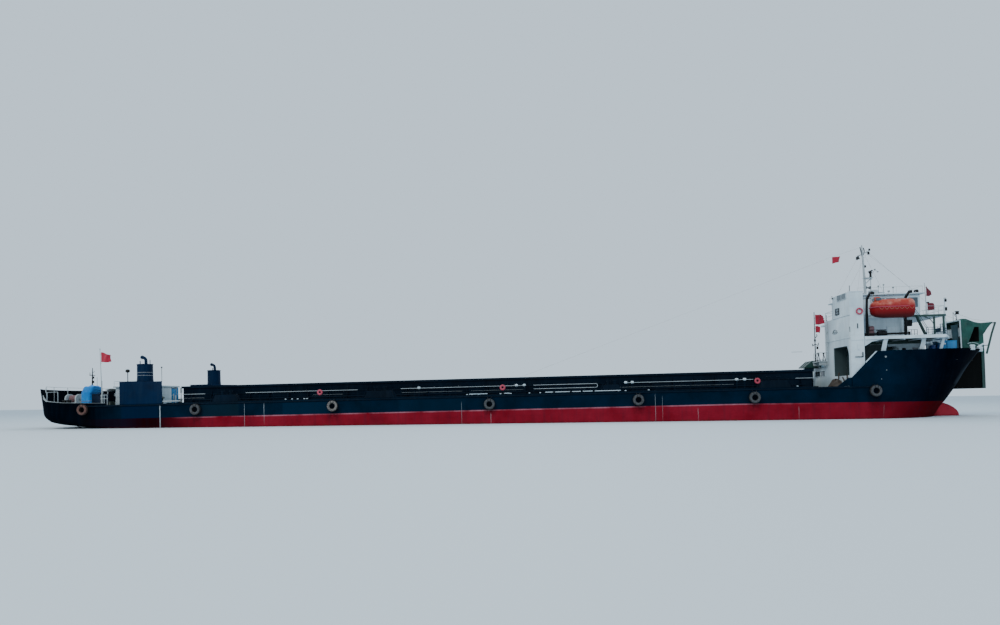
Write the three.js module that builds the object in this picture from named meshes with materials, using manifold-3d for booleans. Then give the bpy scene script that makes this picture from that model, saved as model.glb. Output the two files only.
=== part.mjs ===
// River barge with an open hopper hold, a bridge at the bow and a discharge frame over the stem.
// The body is a model at one to ten. All tables below are in metres of the full-size vessel,
// and every finished body is scaled once to millimetres of the model.
// x runs from stern to bow, y to port, z up from the flat bottom; x 0 is amidships.
import * as THREE from 'three';
import { mergeVertices } from 'three/addons/utils/BufferGeometryUtils.js';
import Module from 'manifold-3d';

const wasm = await Module();
wasm.setup();

// Driving sizes, in metres of the full-size vessel
const modelMillimetres = 100;
const gap = 0.004;
const halfBeam = 9.15;
const deckZ = 5.12;
const passageZ = 6.2;
const foredeckZ = 7.5;
const stemHeadX = 51.55;
const sternX = -52.3;
const centreX = 0.0727;
const coamingStartX = -34.7;
const coamingEndX = 31.75;
const coamingHalf = 6.85;
const coamingTopZ = 6.95;
const houseStartX = 34.84;
const towerEndX = 36.15;
const boatDeckZ = 9.96;
const bridgeDeckZ = 12.25;
const wheelhouseTopZ = 14.5;
const mastX = 40;
const mastTopZ = 20.8;
const shaftY = 4.2;
const shaftZ = 1.35;
const propellerX = -46.75;
const rudderStockX = -48.35;
const beltY = 0.3;

const colours = {
  navy: 0x0b2038, red: 0x7d1e2d, deck: 0x4c5a58, white: 0xd8dee2, grey: 0x8d989c, black: 0x15181a,
  tyre: 0x2a2826, green: 0x1f5a52, blue: 0x1583b5, cover: 0x1f86cc, boat: 0xb03020, flag: 0xc22030,
  steel: 0x6b7072, bronze: 0x9a7b3c, hopper: 0x6a5a48, glass: 0x2c3a40,
};
const materials = {};
for (const [key, colour] of Object.entries(colours)) {
  const metallic = key === 'steel' || key === 'bronze';
  materials[key] = new THREE.MeshStandardMaterial({
    color: colour, roughness: metallic ? 0.45 : 0.6, metalness: metallic ? 1 : 0,
  });
}

const barge = new THREE.Group();

// A closed geometry with merged corners becomes a solid for cutting and joining
function solid(geometry) {
  const bare = geometry.clone();
  bare.deleteAttribute('normal');
  bare.deleteAttribute('uv');
  const merged = mergeVertices(bare, 1e-5);
  return new wasm.Manifold(new wasm.Mesh({
    numProp: 3,
    vertProperties: new Float32Array(merged.attributes.position.array),
    triVerts: new Uint32Array(merged.index.array),
  }));
}

function surface(body) {
  const data = body.getMesh();
  const geometry = new THREE.BufferGeometry();
  const stride = data.numProp;
  const count = data.vertProperties.length / stride;
  const position = new Float32Array(count * 3);
  for (let i = 0; i < count; i += 1) {
    for (let axis = 0; axis < 3; axis += 1) {
      position[i * 3 + axis] = data.vertProperties[i * stride + axis];
    }
  }
  geometry.setAttribute('position', new THREE.BufferAttribute(position, 3));
  geometry.setIndex(new THREE.BufferAttribute(new Uint32Array(data.triVerts), 1));
  return geometry;
}

function join(list) {
  let body = solid(list[0]);
  for (const next of list.slice(1)) {
    body = body.add(solid(next));
  }
  return body;
}

// A part is scaled to the model and placed with the origin under the middle of the whole
function place(name, shape, material) {
  const geometry = shape.isBufferGeometry ? shape.clone() : surface(shape);
  geometry.translate(-centreX, 0, 0);
  geometry.scale(modelMillimetres, modelMillimetres, modelMillimetres);
  geometry.deleteAttribute('normal');
  geometry.computeVertexNormals();
  const mesh = new THREE.Mesh(geometry, materials[material]);
  mesh.name = name;
  barge.add(mesh);
  return mesh;
}

function block(x0, x1, y0, y1, z0, z1) {
  const geometry = new THREE.BoxGeometry(x1 - x0, Math.abs(y1 - y0), z1 - z0);
  geometry.translate((x0 + x1) / 2, (y0 + y1) / 2, (z0 + z1) / 2);
  return geometry;
}

function outlineShape(points, holes = []) {
  const shape = new THREE.Shape(points.map(([a, b]) => new THREE.Vector2(a, b)));
  for (const hole of holes) {
    shape.holes.push(new THREE.Path(hole.map(([a, b]) => new THREE.Vector2(a, b))));
  }
  return shape;
}

function extrude(points, depth, holes) {
  return new THREE.ExtrudeGeometry(outlineShape(points, holes), { depth, bevelEnabled: false, steps: 1 });
}

// Side outline in x and z, spread along y
function sidePlate(points, y0, y1, holes) {
  const geometry = extrude(points, y1 - y0, holes);
  geometry.rotateX(Math.PI / 2);
  geometry.translate(0, y1, 0);
  return geometry;
}

// Cross outline in y and z, spread along x
function crossPlate(points, x0, x1, holes) {
  const geometry = extrude(points, x1 - x0, holes);
  geometry.rotateY(Math.PI / 2);
  geometry.rotateX(Math.PI / 2);
  geometry.translate(x0, 0, 0);
  return geometry;
}

// Plan outline in x and y, spread along z
function planPlate(points, z0, z1, holes) {
  const geometry = extrude(points, z1 - z0, holes);
  geometry.translate(0, 0, z0);
  return geometry;
}

function rectangle(a0, a1, b0, b1) {
  return [[a0, b0], [a1, b0], [a1, b1], [a0, b1]];
}

function rod(from, to, radius, sides = 8, endRadius = radius) {
  const a = new THREE.Vector3(...from);
  const b = new THREE.Vector3(...to);
  const geometry = new THREE.CylinderGeometry(endRadius, radius, a.distanceTo(b), sides);
  const turn = new THREE.Quaternion().setFromUnitVectors(
    new THREE.Vector3(0, 1, 0), b.clone().sub(a).normalize());
  geometry.applyQuaternion(turn);
  geometry.translate((a.x + b.x) / 2, (a.y + b.y) / 2, (a.z + b.z) / 2);
  return geometry;
}

function bentPipe(points, radius, steps, sides = 10) {
  const ring = [];
  for (let i = 0; i < sides; i += 1) {
    const angle = (i / sides) * Math.PI * 2;
    ring.push([radius * Math.cos(angle), radius * Math.sin(angle)]);
  }
  const path = new THREE.CatmullRomCurve3(points.map((p) => new THREE.Vector3(...p)));
  return new THREE.ExtrudeGeometry(outlineShape(ring), { steps, extrudePath: path, bevelEnabled: false });
}

function mirrored(geometry) {
  const copy = geometry.clone();
  copy.scale(1, -1, 1);
  const order = copy.index;
  if (order) {
    for (let i = 0; i < order.count; i += 3) {
      const keep = order.getX(i + 1);
      order.setX(i + 1, order.getX(i + 2));
      order.setX(i + 2, keep);
    }
    return copy;
  }
  const position = copy.attributes.position;
  for (let i = 0; i < position.count; i += 3) {
    for (let axis = 0; axis < 3; axis += 1) {
      const keep = position.getComponent(i + 1, axis);
      position.setComponent(i + 1, axis, position.getComponent(i + 2, axis));
      position.setComponent(i + 2, axis, keep);
    }
  }
  return copy;
}

// Half outline of the hull at one height: rounded stern, straight sides, full bow.
// At each end y grows from 0 to the half beam as (1 - u^p)^(1/q), with u from 1 at the end to 0.
function halfOutline(level, inset = 0) {
  const steps = [1, 0.985, 0.94, 0.86, 0.74, 0.58, 0.38, 0.18, 0];
  const half = level.half - inset;
  const points = [];
  for (const u of steps) {
    const x = level.sternTaper - u * (level.sternTaper - level.stern - inset);
    points.push([x, half * (1 - u ** 3) ** (1 / 2)]);
  }
  for (const u of [...steps].reverse()) {
    const x = level.bowTaper + u * (level.stem - inset - level.bowTaper);
    points.push([x, half * (1 - u ** 2.2) ** (1 / 1.5)]);
  }
  return points;
}

function lofted(levels, inset = 0) {
  const rings = levels.map((level) => {
    const half = halfOutline(level, inset);
    const other = half.slice(1, -1).reverse().map(([x, y]) => [x, -y]);
    return [...half, ...other].map(([x, y]) => [x, -y, level.z]);
  });
  const count = rings[0].length;
  const position = rings.flat(2);
  const index = [];
  for (let row = 0; row + 1 < rings.length; row += 1) {
    for (let i = 0; i < count; i += 1) {
      const a = row * count + i;
      const b = row * count + ((i + 1) % count);
      index.push(a, b, b + count, a, b + count, a + count);
    }
  }
  for (const [row, up] of [[0, false], [rings.length - 1, true]]) {
    for (let i = 0; i < count / 2; i += 1) {
      const a = row * count + i;
      const b = row * count + i + 1;
      const c = row * count + ((count - i - 1) % count);
      const d = row * count + ((count - i) % count);
      const faces = i === 0 ? [[a, b, c]] : [[a, b, c], [a, c, d]];
      for (const [p, q, r] of faces) {
        if (p !== q && q !== r && p !== r) {
          index.push(...(up ? [p, q, r] : [p, r, q]));
        }
      }
    }
  }
  const geometry = new THREE.BufferGeometry();
  geometry.setAttribute('position', new THREE.BufferAttribute(new Float32Array(position), 3));
  geometry.setIndex(index);
  return geometry;
}

// Hull levels from the bottom to the deck
const hullLevels = [
  { z: 0, stern: -36, sternTaper: -34, half: 8.6, bowTaper: 32, stem: 44.4 },
  { z: 0.55, stern: -38.2, sternTaper: -35.5, half: 9.1, bowTaper: 33, stem: 45.4 },
  { z: 2, stern: -42, sternTaper: -38.5, half: halfBeam, bowTaper: 34.5, stem: 46.6 },
  { z: 2.6, stern: -44.8, sternTaper: -40.6, half: halfBeam, bowTaper: 35.2, stem: 47 },
  { z: 2.9, stern: -48, sternTaper: -42.2, half: halfBeam, bowTaper: 35.5, stem: 47.2 },
  { z: 3.1, stern: -50.1, sternTaper: -43.4, half: halfBeam, bowTaper: 35.7, stem: 47.4 },
  { z: 3.45, stern: -51.5, sternTaper: -44.8, half: halfBeam, bowTaper: 36, stem: 47.7 },
  { z: 4.2, stern: -52.1, sternTaper: -46, half: halfBeam, bowTaper: 36.9, stem: 48.25 },
  { z: deckZ, stern: -52.2, sternTaper: -46.2, half: halfBeam, bowTaper: 37.8, stem: 48.89 },
];
const bowLevels = [
  { z: deckZ + gap, stern: 30, sternTaper: 31, half: halfBeam, bowTaper: 37.8, stem: 48.89 },
  { z: 7, stern: 30, sternTaper: 31, half: halfBeam, bowTaper: 38.8, stem: 50.09 },
  { z: 8.8, stern: 30, sternTaper: 31, half: halfBeam, bowTaper: 39.6, stem: stemHeadX },
];

// Hollow under an engine casing: its forward wall is slanted like the casing's own
function casingInside(side, z0, z1) {
  const half = planPlate([[-40.3, 6.2], [-37.85, 6.2], [-36.15, 8.9], [-40.3, 8.9]], z0, z1);
  return side > 0 ? half : mirrored(half);
}

// Hull with the hopper hold, the engine pockets, the bulb and the shaft bossings
let hull = solid(lofted(hullLevels));
const hopper = crossPlate([
  [-coamingHalf + 0.3, deckZ + 1], [-coamingHalf + 0.3, 4.1], [-1.7, 1.1], [1.7, 1.1],
  [coamingHalf - 0.3, 4.1], [coamingHalf - 0.3, deckZ + 1],
], coamingStartX + 0.3, coamingEndX - 0.3);
hull = hull.subtract(solid(hopper));
const bulbProfile = [];
for (let i = 0; i <= 10; i += 1) {
  const angle = (i / 10) * Math.PI;
  bulbProfile.push(new THREE.Vector2(i % 10 === 0 ? 0 : 1.3 * Math.sin(angle), -4.1 * Math.cos(angle)));
}
const bulb = new THREE.LatheGeometry(bulbProfile, 12);
bulb.rotateZ(-Math.PI / 2);
bulb.scale(1, 1, 1.34);
bulb.translate(45.45, 0, 1.76);
hull = hull.add(solid(bulb));
for (const side of [-1, 1]) {
  hull = hull.add(solid(rod([-37, side * shaftY, shaftZ], [-45.9, side * shaftY, shaftZ], 0.75, 12, 0.42)));
  hull = hull.add(solid(sidePlate([[-37, 1], [-45.6, 1.35], [-45.6, 3.3], [-37, 3.3]],
    side * shaftY - 0.14, side * shaftY + 0.14)));
  hull = hull.add(solid(rod([rudderStockX, side * shaftY, 2.8], [rudderStockX, side * shaftY, 4], 0.3, 12)));
  hull = hull.subtract(solid(block(-41.2, -37, side * 6.3, side * 8.5, 2.7, 4.9)));
  hull = hull.subtract(solid(casingInside(side, 4.8, deckZ + 1)));
}
place('hull', hull, 'navy');

// Bow shell: bulwark on both sides that climbs from the deck, with the foredeck inside it
let bow = solid(lofted(bowLevels));
bow = bow.intersect(solid(sidePlate([
  [houseStartX, deckZ - 1], [60, deckZ - 1], [60, 8.76], [stemHeadX, 8.74], [37.3, 8.5], [houseStartX, 6],
], -12, 12)));
const insideLevels = bowLevels.map((level, i) => ({ ...level, z: level.z + [-0.6, 0, 0.4][i] }));
const inside = solid(lofted(insideLevels, 0.12));
bow = bow.subtract(inside.intersect(solid(block(20, towerEndX + 0.02, -12, 12, deckZ - 1, 12))));
bow = bow.subtract(inside.intersect(solid(block(20, 43.2, -12, 12, passageZ, 12))));
bow = bow.subtract(inside.intersect(solid(block(43, 60, -12, 12, foredeckZ, 12))));
for (const side of [-1, 1]) {
  for (const [x, y] of [[47.95, 6.03], [50.76, 2.36]]) {
    bow = bow.add(solid(rod([x, side * y, 8.45], [x, side * y, 9.08], 0.16, 10)));
  }
}
place('bow_bulwark', bow, 'navy');

// Stern bulwark that rises towards the stern, open at the sides forward of the quarter
const sternLevels = [
  { z: deckZ + gap, stern: -52.2, sternTaper: -46.2, half: halfBeam, bowTaper: 37.8, stem: 48.89 },
  { z: 7.05, stern: -52.6, sternTaper: -46.2, half: halfBeam, bowTaper: 37.8, stem: 48.89 },
];
let sternWall = solid(lofted(sternLevels));
const sternHollow = sternLevels.map((level, i) => ({ ...level, z: level.z + (i === 0 ? -1 : 1) }));
sternWall = sternWall.subtract(solid(lofted(sternHollow, 0.16)));
sternWall = sternWall.intersect(solid(sidePlate([
  [-60, 4], [-42.2, 4], [-42.2, 5.3], [-47, 5.45], [-49.2, 5.65], [-50, 6], [-50.5, 6.55], [-50.75, 7.05], [-60, 7.05],
], -12, 12)));
place('stern_bulwark', sternWall, 'navy');

// Coaming round the hold, with cross beams that stiffen it
const coamingParts = [
  block(coamingStartX, coamingEndX, -coamingHalf, coamingHalf, deckZ + gap, coamingTopZ),
];
let coaming = join(coamingParts);
coaming = coaming.subtract(solid(block(coamingStartX + 0.32, coamingEndX - 0.32,
  -coamingHalf + 0.32, coamingHalf - 0.32, deckZ - 1, coamingTopZ + 1)));
for (const x of [-24, -13, -2, 9, 20]) {
  coaming = coaming.add(solid(block(x - 0.35, x + 0.35, -coamingHalf + 0.1, coamingHalf - 0.1, 6.1, coamingTopZ - 0.12)));
}
for (const side of [-1, 1]) {
  coaming = coaming.add(solid(block(coamingStartX - 0.15, coamingEndX + 0.15,
    side > 0 ? coamingHalf - 0.1 : -coamingHalf - 0.16, side > 0 ? coamingHalf + 0.16 : -coamingHalf + 0.1,
    coamingTopZ - 0.22, coamingTopZ)));
}
place('hold_coaming', coaming, 'navy');

// Belt along the bottom of the hopper
place('hold_belt', join([
  block(coamingStartX + 1, coamingEndX - 1, -1.2, 1.2, 1.1 + gap, 1.5),
  rod([coamingEndX - 1.4, -1.3, 1.6], [coamingEndX - 1.4, 1.3, 1.6], 0.4, 12),
  rod([coamingStartX + 1.4, -1.3, 1.6], [coamingStartX + 1.4, 1.3, 1.6], 0.4, 12),
]), 'black');

// Side rails in sections on a low plate along the deck edge, with the bollard seats between them
const railTop = deckZ + 0.92;
const railSections = [
  { start: -34.2, end: -31.2 }, { start: -26.8, end: -14.8 }, { start: -10.3, end: 2.6 },
  { start: 3.4, end: 9.6 }, { start: 12.9, end: 25.3 }, { start: 29.4, end: 31.2 },
];
const seats = [
  { start: -30.5, end: -27.5 }, { start: -14.2, end: -10.9 }, { start: 10, end: 12.4 }, { start: 25.75, end: 29 },
];
function sideRail(side) {
  const outer = halfBeam - 0.1;
  const inner = outer - 0.07;
  let body = solid(block(-35.4, 31.6, inner - 0.1, outer, deckZ + gap, deckZ + 0.1));
  for (const { start, end } of railSections) {
    const bays = Math.max(1, Math.round((end - start) / 3));
    for (let i = 0; i <= bays; i += 1) {
      const x = start + ((end - start - 0.07) * i) / bays;
      body = body.add(solid(block(x, x + 0.07, inner, outer - 0.01, deckZ + 0.05, railTop - 0.03)));
    }
    for (const z of [railTop - 0.07, deckZ + 0.46]) {
      body = body.add(solid(block(start, end, inner + 0.005, outer - 0.015, z, z + 0.07)));
    }
  }
  for (const { start, end } of seats) {
    body = body.add(solid(sidePlate(
      [[start, deckZ + 0.02], [end, deckZ + 0.02], [end - 0.4, railTop - 0.12], [start + 0.4, railTop - 0.12]],
      outer - 0.75, outer - 0.02)));
    for (const share of [0.35, 0.65]) {
      const x = start + (end - start) * share;
      body = body.add(solid(rod([x, outer - 0.4, railTop - 0.3], [x, outer - 0.4, railTop + 0.25], 0.16, 10)));
    }
  }
  return side < 0 ? body.mirror([0, 1, 0]) : body;
}
place('side_rail_starboard', sideRail(-1), 'grey');
place('side_rail_port', sideRail(1), 'grey');

// Tyre fenders hung from the rubbing strake under the deck edge
const tyres = [
  { x: -44.5, z: 4.66 }, { x: -32.1, z: 4.42 }, { x: -17.4, z: 4.42 }, { x: -1.1, z: 4.22 },
  { x: 13.9, z: 4.28 }, { x: 25.3, z: 4.23 }, { x: 36.9, z: 4.6 },
];
const tyreProfile = [[0.27, -0.15], [0.42, -0.21], [0.54, -0.17], [0.57, 0], [0.54, 0.17], [0.42, 0.21], [0.27, 0.15], [0.27, -0.15]]
  .map(([r, along]) => new THREE.Vector2(r, along));
function fenders(side) {
  let body = solid(block(-45.1, 37.6, halfBeam + gap, halfBeam + 0.1, 4.93, 5.08));
  for (const { x, z } of tyres) {
    const tyre = new THREE.LatheGeometry(tyreProfile, 14);
    tyre.translate(x, halfBeam + 0.3, z);
    body = body.add(solid(tyre));
    body = body.add(solid(block(x - 0.05, x + 0.05, halfBeam + 0.04, halfBeam + 0.2, z + 0.2, 5)));
  }
  return side < 0 ? body.mirror([0, 1, 0]) : body;
}
place('tyre_fenders_starboard', fenders(-1), 'tyre');
place('tyre_fenders_port', fenders(1), 'tyre');

// Engine casings on both quarters, with a funnel, an exhaust and the engine under each
for (const [label, side] of [['starboard', -1], ['port', 1]]) {
  const outline = planPlate([[-40.56, 5.95], [-37.75, 5.95], [-35.83, halfBeam], [-40.56, halfBeam]], deckZ + gap, 7.5);
  const casing = solid(side > 0 ? outline : mirrored(outline));
  place(`engine_casing_${label}`, casing.subtract(solid(casingInside(side, deckZ - 1, 7.2))), 'navy');
  place(`engine_${label}`, block(-41.05, -37.15, side * 6.5, side * 8.2, 2.7 + gap, 4.7), 'grey');
  const fy = side * 7.95;
  const funnel = new THREE.CylinderGeometry(0.78, 0.84, 1.93, 8);
  funnel.rotateY(Math.PI / 8);
  funnel.rotateX(Math.PI / 2);
  funnel.translate(-38.37, fy, 7.5 + gap + 0.965);
  const exhaust = bentPipe([
    [-38.25, fy, 9.3], [-38.25, fy, 9.75], [-38.3, fy, 9.95], [-38.42, fy, 10.1], [-38.62, fy, 10.2],
  ], 0.17, 8);
  place(`funnel_${label}`, join([funnel, exhaust]), 'navy');
}

// Deckhouse between the casings, set to starboard of the stairs
let aftHouse = solid(block(-44, -39.05, -4.3, 0.15, deckZ + gap, 7.2));
aftHouse = aftHouse.add(solid(block(-44.2, -38.9, -4.5, 0.35, 7.1, 7.25)));
aftHouse = aftHouse.subtract(solid(block(-39.35, -38.95, -1.3, -0.2, deckZ + 0.1, 6.95)));
place('aft_deckhouse', aftHouse, 'white');
place('aft_deckhouse_door', block(-39.14, -39.07, -1.28, -0.22, deckZ + 0.13, 6.91), 'blue');

// Gear on the poop: mooring winch, covered winch, canopy, light mast and flagstaff
place('stern_winch', join([
  block(-49.2, -47.65, -6.1, -3.7, deckZ + gap, 5.35),
  rod([-48.3, -6.2, 5.95], [-48.3, -3.6, 5.95], 0.42, 12),
  rod([-48.3, -5.95, 5.95], [-48.3, -5.8, 5.95], 0.62, 12),
  rod([-48.3, -4, 5.95], [-48.3, -3.85, 5.95], 0.62, 12),
  block(-48.5, -48.1, -5.7, -5.5, 5.3, 6),
  block(-48.5, -48.1, -4.3, -4.1, 5.3, 6),
]), 'grey');
place('winch_cover', sidePlate([
  [-46.21, deckZ + gap], [-44.85, deckZ + gap], [-44.85, 6.47], [-44.5, 6.75], [-44.42, 7.2], [-44.7, 7.38],
  [-45.7, 7.42], [-46.21, 6.7],
], -7.5, -5.6), 'cover');
place('stern_locker', block(-44.79, -43.8, -7.4, -5.9, deckZ + gap, 6.38), 'blue');
place('stern_mast', join([
  block(-47.88, -47.2, -3.4, -2.8, deckZ + gap, 5.4),
  rod([-47.55, -3.1, 5.3], [-47.55, -3.1, 9.5], 0.09, 8, 0.05),
  block(-47.6, -47.5, -3.6, -2.6, 8.6, 8.7),
]), 'black');
place('stern_canopy', join([
  block(-45.9, -44.3, -3.3, 3.3, 6.8, 7.05),
  ...[[-45.7, -3.1], [-44.5, -3.1], [-45.7, 3.1], [-44.5, 3.1]].map(([x, y]) => rod([x, y, deckZ + gap], [x, y, 6.9], 0.06, 6)),
]), 'grey');
place('stern_flagstaff', join([
  block(-43.2, -42.8, -8.5, -8.1, deckZ + gap, 5.3),
  rod([-43, -8.3, 5.2], [-43.2, -8.3, 11.2], 0.06, 6, 0.035),
]), 'grey');

// Twin propellers, shafts and rudders under the counter
for (const [label, side] of [['starboard', -1], ['port', 1]]) {
  const sy = side * shaftY;
  const blades = [rod([-45.95, sy, shaftZ], [propellerX, sy, shaftZ], 0.16, 12), rod([propellerX + 0.32, sy, shaftZ], [propellerX - 0.4, sy, shaftZ], 0.27, 12, 0.12)];
  for (let i = 0; i < 4; i += 1) {
    const blade = new THREE.BoxGeometry(0.42, 0.07, 0.95, 1, 1, 2);
    blade.rotateZ(side * 0.9);
    blade.translate(0, 0, 0.55);
    blade.rotateX((i * Math.PI) / 2);
    blade.translate(propellerX, sy, shaftZ);
    blades.push(blade);
  }
  place(`propeller_${label}`, join(blades), 'bronze');
  place(`rudder_${label}`, join([
    sidePlate([[-49.55, 0.4], [-47.85, 0.4], [-47.85, 2.5], [-49.45, 2.5]], sy - 0.11, sy + 0.11),
    rod([rudderStockX, sy, 2.3], [rudderStockX, sy, 2.75], 0.16, 12),
  ]), 'navy');
}

// Stair tower across the front of the hold, with the open way to the starboard passage
const sideY = halfBeam - 0.13;
let tower = solid(crossPlate([
  [-sideY, deckZ + gap], [1.45, deckZ + gap], [1.45, 7.3], [-2.2, 7.3], [-2.2, 12.2], [-4.6, 12.2],
  [-4.6, wheelhouseTopZ], [-sideY, wheelhouseTopZ],
], houseStartX, towerEndX));
tower = tower.subtract(solid(crossPlate([
  [-8.45, passageZ], [-4.58, passageZ], [-4.58, 9.15], [-8.05, 9.15], [-8.42, 8.4],
], houseStartX - 1, towerEndX + 1)));
tower = tower.subtract(solid(block(houseStartX - 1, houseStartX + 0.25, -1.93, 0.93, 6.33, 6.88)));
place('stair_tower', tower, 'white');

// Houses on the foredeck beside the conveyor, and the decks over them
const belowBoatDeck = boatDeckZ - 0.26 - gap;
let house = solid(block(towerEndX + 0.03, 43, -6.2, -1.15, passageZ + gap, belowBoatDeck));
house = house.subtract(solid(block(39.53, 40.45, -6.5, -5.2, 7, 9.1)));
place('forecastle_house', house, 'white');
place('passage_door', block(40.5, 41.4, -6.32, -6.26, 7.03, 9.07), 'white');
function pillar(x, y) {
  return sidePlate([[x - 0.8, passageZ + gap], [x - 0.3, passageZ + gap], [x + 0.44, 9.75], [x + 0.04, 9.75]], y, y + 0.14);
}
place('boat_deck_starboard', join([
  planPlate([[towerEndX + 0.03, -sideY - 0.08], [43.9, -sideY - 0.08], [45.6, -6.3], [45.6, -1.15], [towerEndX + 0.03, -1.15]],
    boatDeckZ - 0.26, boatDeckZ),
  sidePlate([[towerEndX + 0.03, 9.75], [towerEndX + 0.03, 9.03], [36.44, 9.16], [36.85, 9.43], [37.85, 9.63], [37.9, 9.75]],
    -sideY, -sideY + 0.12),
  pillar(37.98, -sideY + 0.01), pillar(41.84, -8.56),
  sidePlate([[43.5, foredeckZ + gap], [43.8, foredeckZ + gap], [44.4, 9.75], [44.1, 9.75]], -sideY + 1.1, -sideY + 1.24),
]), 'white');
place('boat_deck_port', join([
  block(39.8, 44.9, 1.75, sideY + 0.08, boatDeckZ - 0.26, boatDeckZ),
  block(39.8, 43, 1.75, 6.2, passageZ + gap, 9.75),
  pillar(41.84, 8.42),
]), 'white');
const deckHouseTop = bridgeDeckZ - 0.2;
place('boat_deck_house', join([
  block(towerEndX + 0.03, 41.7, -5.7, -1.15, boatDeckZ + gap, deckHouseTop + 0.05),
  block(towerEndX + 0.03, 45.5, -5.9, 2.6, deckHouseTop, bridgeDeckZ),
  ...[[44.43, -5.8], [45.36, -5.8], [41, 2.4], [44.7, 2.4]].map(([x, y]) => (
    rod([x, y, boatDeckZ + gap], [x, y, bridgeDeckZ - 0.1], 0.08, 8))),
]), 'white');

// Wheelhouse with its windows cut, its roof and its door
const wheel = { x0: 37.2, x1: 43.4, y0: -5.2, y1: 1.9, wall: 0.12, sill: 13.15, head: 14.15 };
let wheelhouse = solid(block(wheel.x0, wheel.x1, wheel.y0, wheel.y1, bridgeDeckZ + gap, wheelhouseTopZ));
wheelhouse = wheelhouse.subtract(solid(block(wheel.x0 + wheel.wall, wheel.x1 - wheel.wall,
  wheel.y0 + wheel.wall, wheel.y1 - wheel.wall, bridgeDeckZ - 1, wheelhouseTopZ + 1)));
for (let i = 0; i < 6; i += 1) {
  const y = wheel.y0 + 0.28 + i * 1.11;
  wheelhouse = wheelhouse.subtract(solid(block(wheel.x1 - 0.5, wheel.x1 + 0.5, y, y + 0.95, wheel.sill, wheel.head)));
  wheelhouse = wheelhouse.subtract(solid(block(wheel.x0 - 0.5, wheel.x0 + 0.5, y, y + 0.95, wheel.sill, wheel.head)));
}
for (let i = 0; i < 4; i += 1) {
  const x = wheel.x0 + 1.75 + i * 1.1;
  wheelhouse = wheelhouse.subtract(solid(block(x, x + 0.95, wheel.y0 - 1, wheel.y1 + 1, wheel.sill, wheel.head)));
}
const doorX0 = wheel.x0 + 0.45;
const doorX1 = wheel.x0 + 1.35;
wheelhouse = wheelhouse.subtract(solid(block(doorX0, doorX1, wheel.y0 - 1, wheel.y0 + 1, bridgeDeckZ + 0.12, 14.2)));
place('wheelhouse', wheelhouse, 'white');
place('wheelhouse_door', block(doorX0 + 0.05, doorX1 - 0.05, wheel.y0 + 0.02, wheel.y0 + 0.08,
  bridgeDeckZ + 0.17, 14.15), 'white');
place('wheelhouse_roof', join([
  block(wheel.x0 - 0.3, wheel.x1 + 0.4, wheel.y0 - 0.3, wheel.y1 + 0.3, wheelhouseTopZ + gap, wheelhouseTopZ + 0.14),
  block(mastX - 0.7, mastX + 0.9, -0.6, 0.6, wheelhouseTopZ + 0.1, 15.1),
]), 'white');

// Signal mast with its yard and radar bracket, and the scanner that turns on it
place('mast', join([
  rod([mastX + 0.15, 0, 15.13], [mastX - 0.07, 0, mastTopZ], 0.15, 10, 0.07),
  block(mastX - 0.08, mastX + 0.02, -1.65, 1.65, 19.75, 19.85),
  block(mastX, mastX + 0.95, -0.3, 0.3, 17.08, 17.16),
  rod([mastX + 0.76, 0, 15.13], [mastX + 0.76, 0, 17.1], 0.05, 8),
]), 'white');
place('radar_scanner', join([
  rod([mastX + 0.76, 0, 17.2], [mastX + 0.76, 0, 17.8], 0.12, 12),
  block(mastX + 0.68, mastX + 0.84, -0.5, 0.5, 17.78, 17.94),
]), 'black');

// Enclosed lifeboat on a pair of swinging davits at the starboard edge of the boat deck
const boatY = -7.5;
const boatProfile = [[0, -2.13], [0.5, -2.08], [0.85, -1.8], [1, -1.1], [1, 1.95], [0.94, 2.12], [0, 2.15]]
  .map(([r, along]) => new THREE.Vector2(r, along));
const boat = new THREE.LatheGeometry(boatProfile, 16);
boat.rotateZ(-Math.PI / 2);
boat.scale(1, 0.85, 0.98);
boat.translate(39.52, boatY, 12.83);
place('lifeboat', join([boat, block(37.75, 38.45, boatY - 0.4, boatY + 0.4, 13.6, 14)]), 'boat');
const davitY = -6.3;
const davitZ = 10.4;
const davitParts = [rod([37.45, davitY, davitZ], [41.55, davitY, davitZ], 0.1, 8)];
for (const x of [37.52, 41.32]) {
  davitParts.push(crossPlate([
    [davitY - 0.2, davitZ - 0.2], [davitY + 0.22, davitZ - 0.2], [davitY + 0.18, 12.8], [davitY, 14.1], [boatY + 0.3, 14.62],
    [boatY - 0.2, 14.6], [boatY - 0.2, 14.4], [boatY + 0.3, 14.38], [davitY - 0.22, 13.9], [davitY - 0.1, 12.6],
  ], x, x + 0.16));
}
place('lifeboat_davits', join(davitParts), 'grey');
place('davit_feet', join([
  block(37.05, 42.05, davitY - 0.3, davitY + 0.3, boatDeckZ + gap, 10.04),
  block(37.21, 37.37, davitY - 0.12, davitY + 0.12, 10, 10.55),
  block(41.63, 41.79, davitY - 0.12, davitY + 0.12, 10, 10.55),
]), 'grey');

// Conveyor gallery that climbs from the hold to the head of the bow
const beltHalf = 1;
place('conveyor_gallery', sidePlate([
  [34.9, 8.06], [36.6, 8.4], [50.3, 11.35], [50.3, 10.45], [36.6, 7.5], [34.9, 7.33],
], beltY - beltHalf, beltY + beltHalf), 'white');
place('gallery_hood', sidePlate([
  [33.1, 7.33], [33.93, 8.02], [34.88, 8.05], [34.88, 7.33],
], beltY - beltHalf, beltY + beltHalf), 'green');

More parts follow.
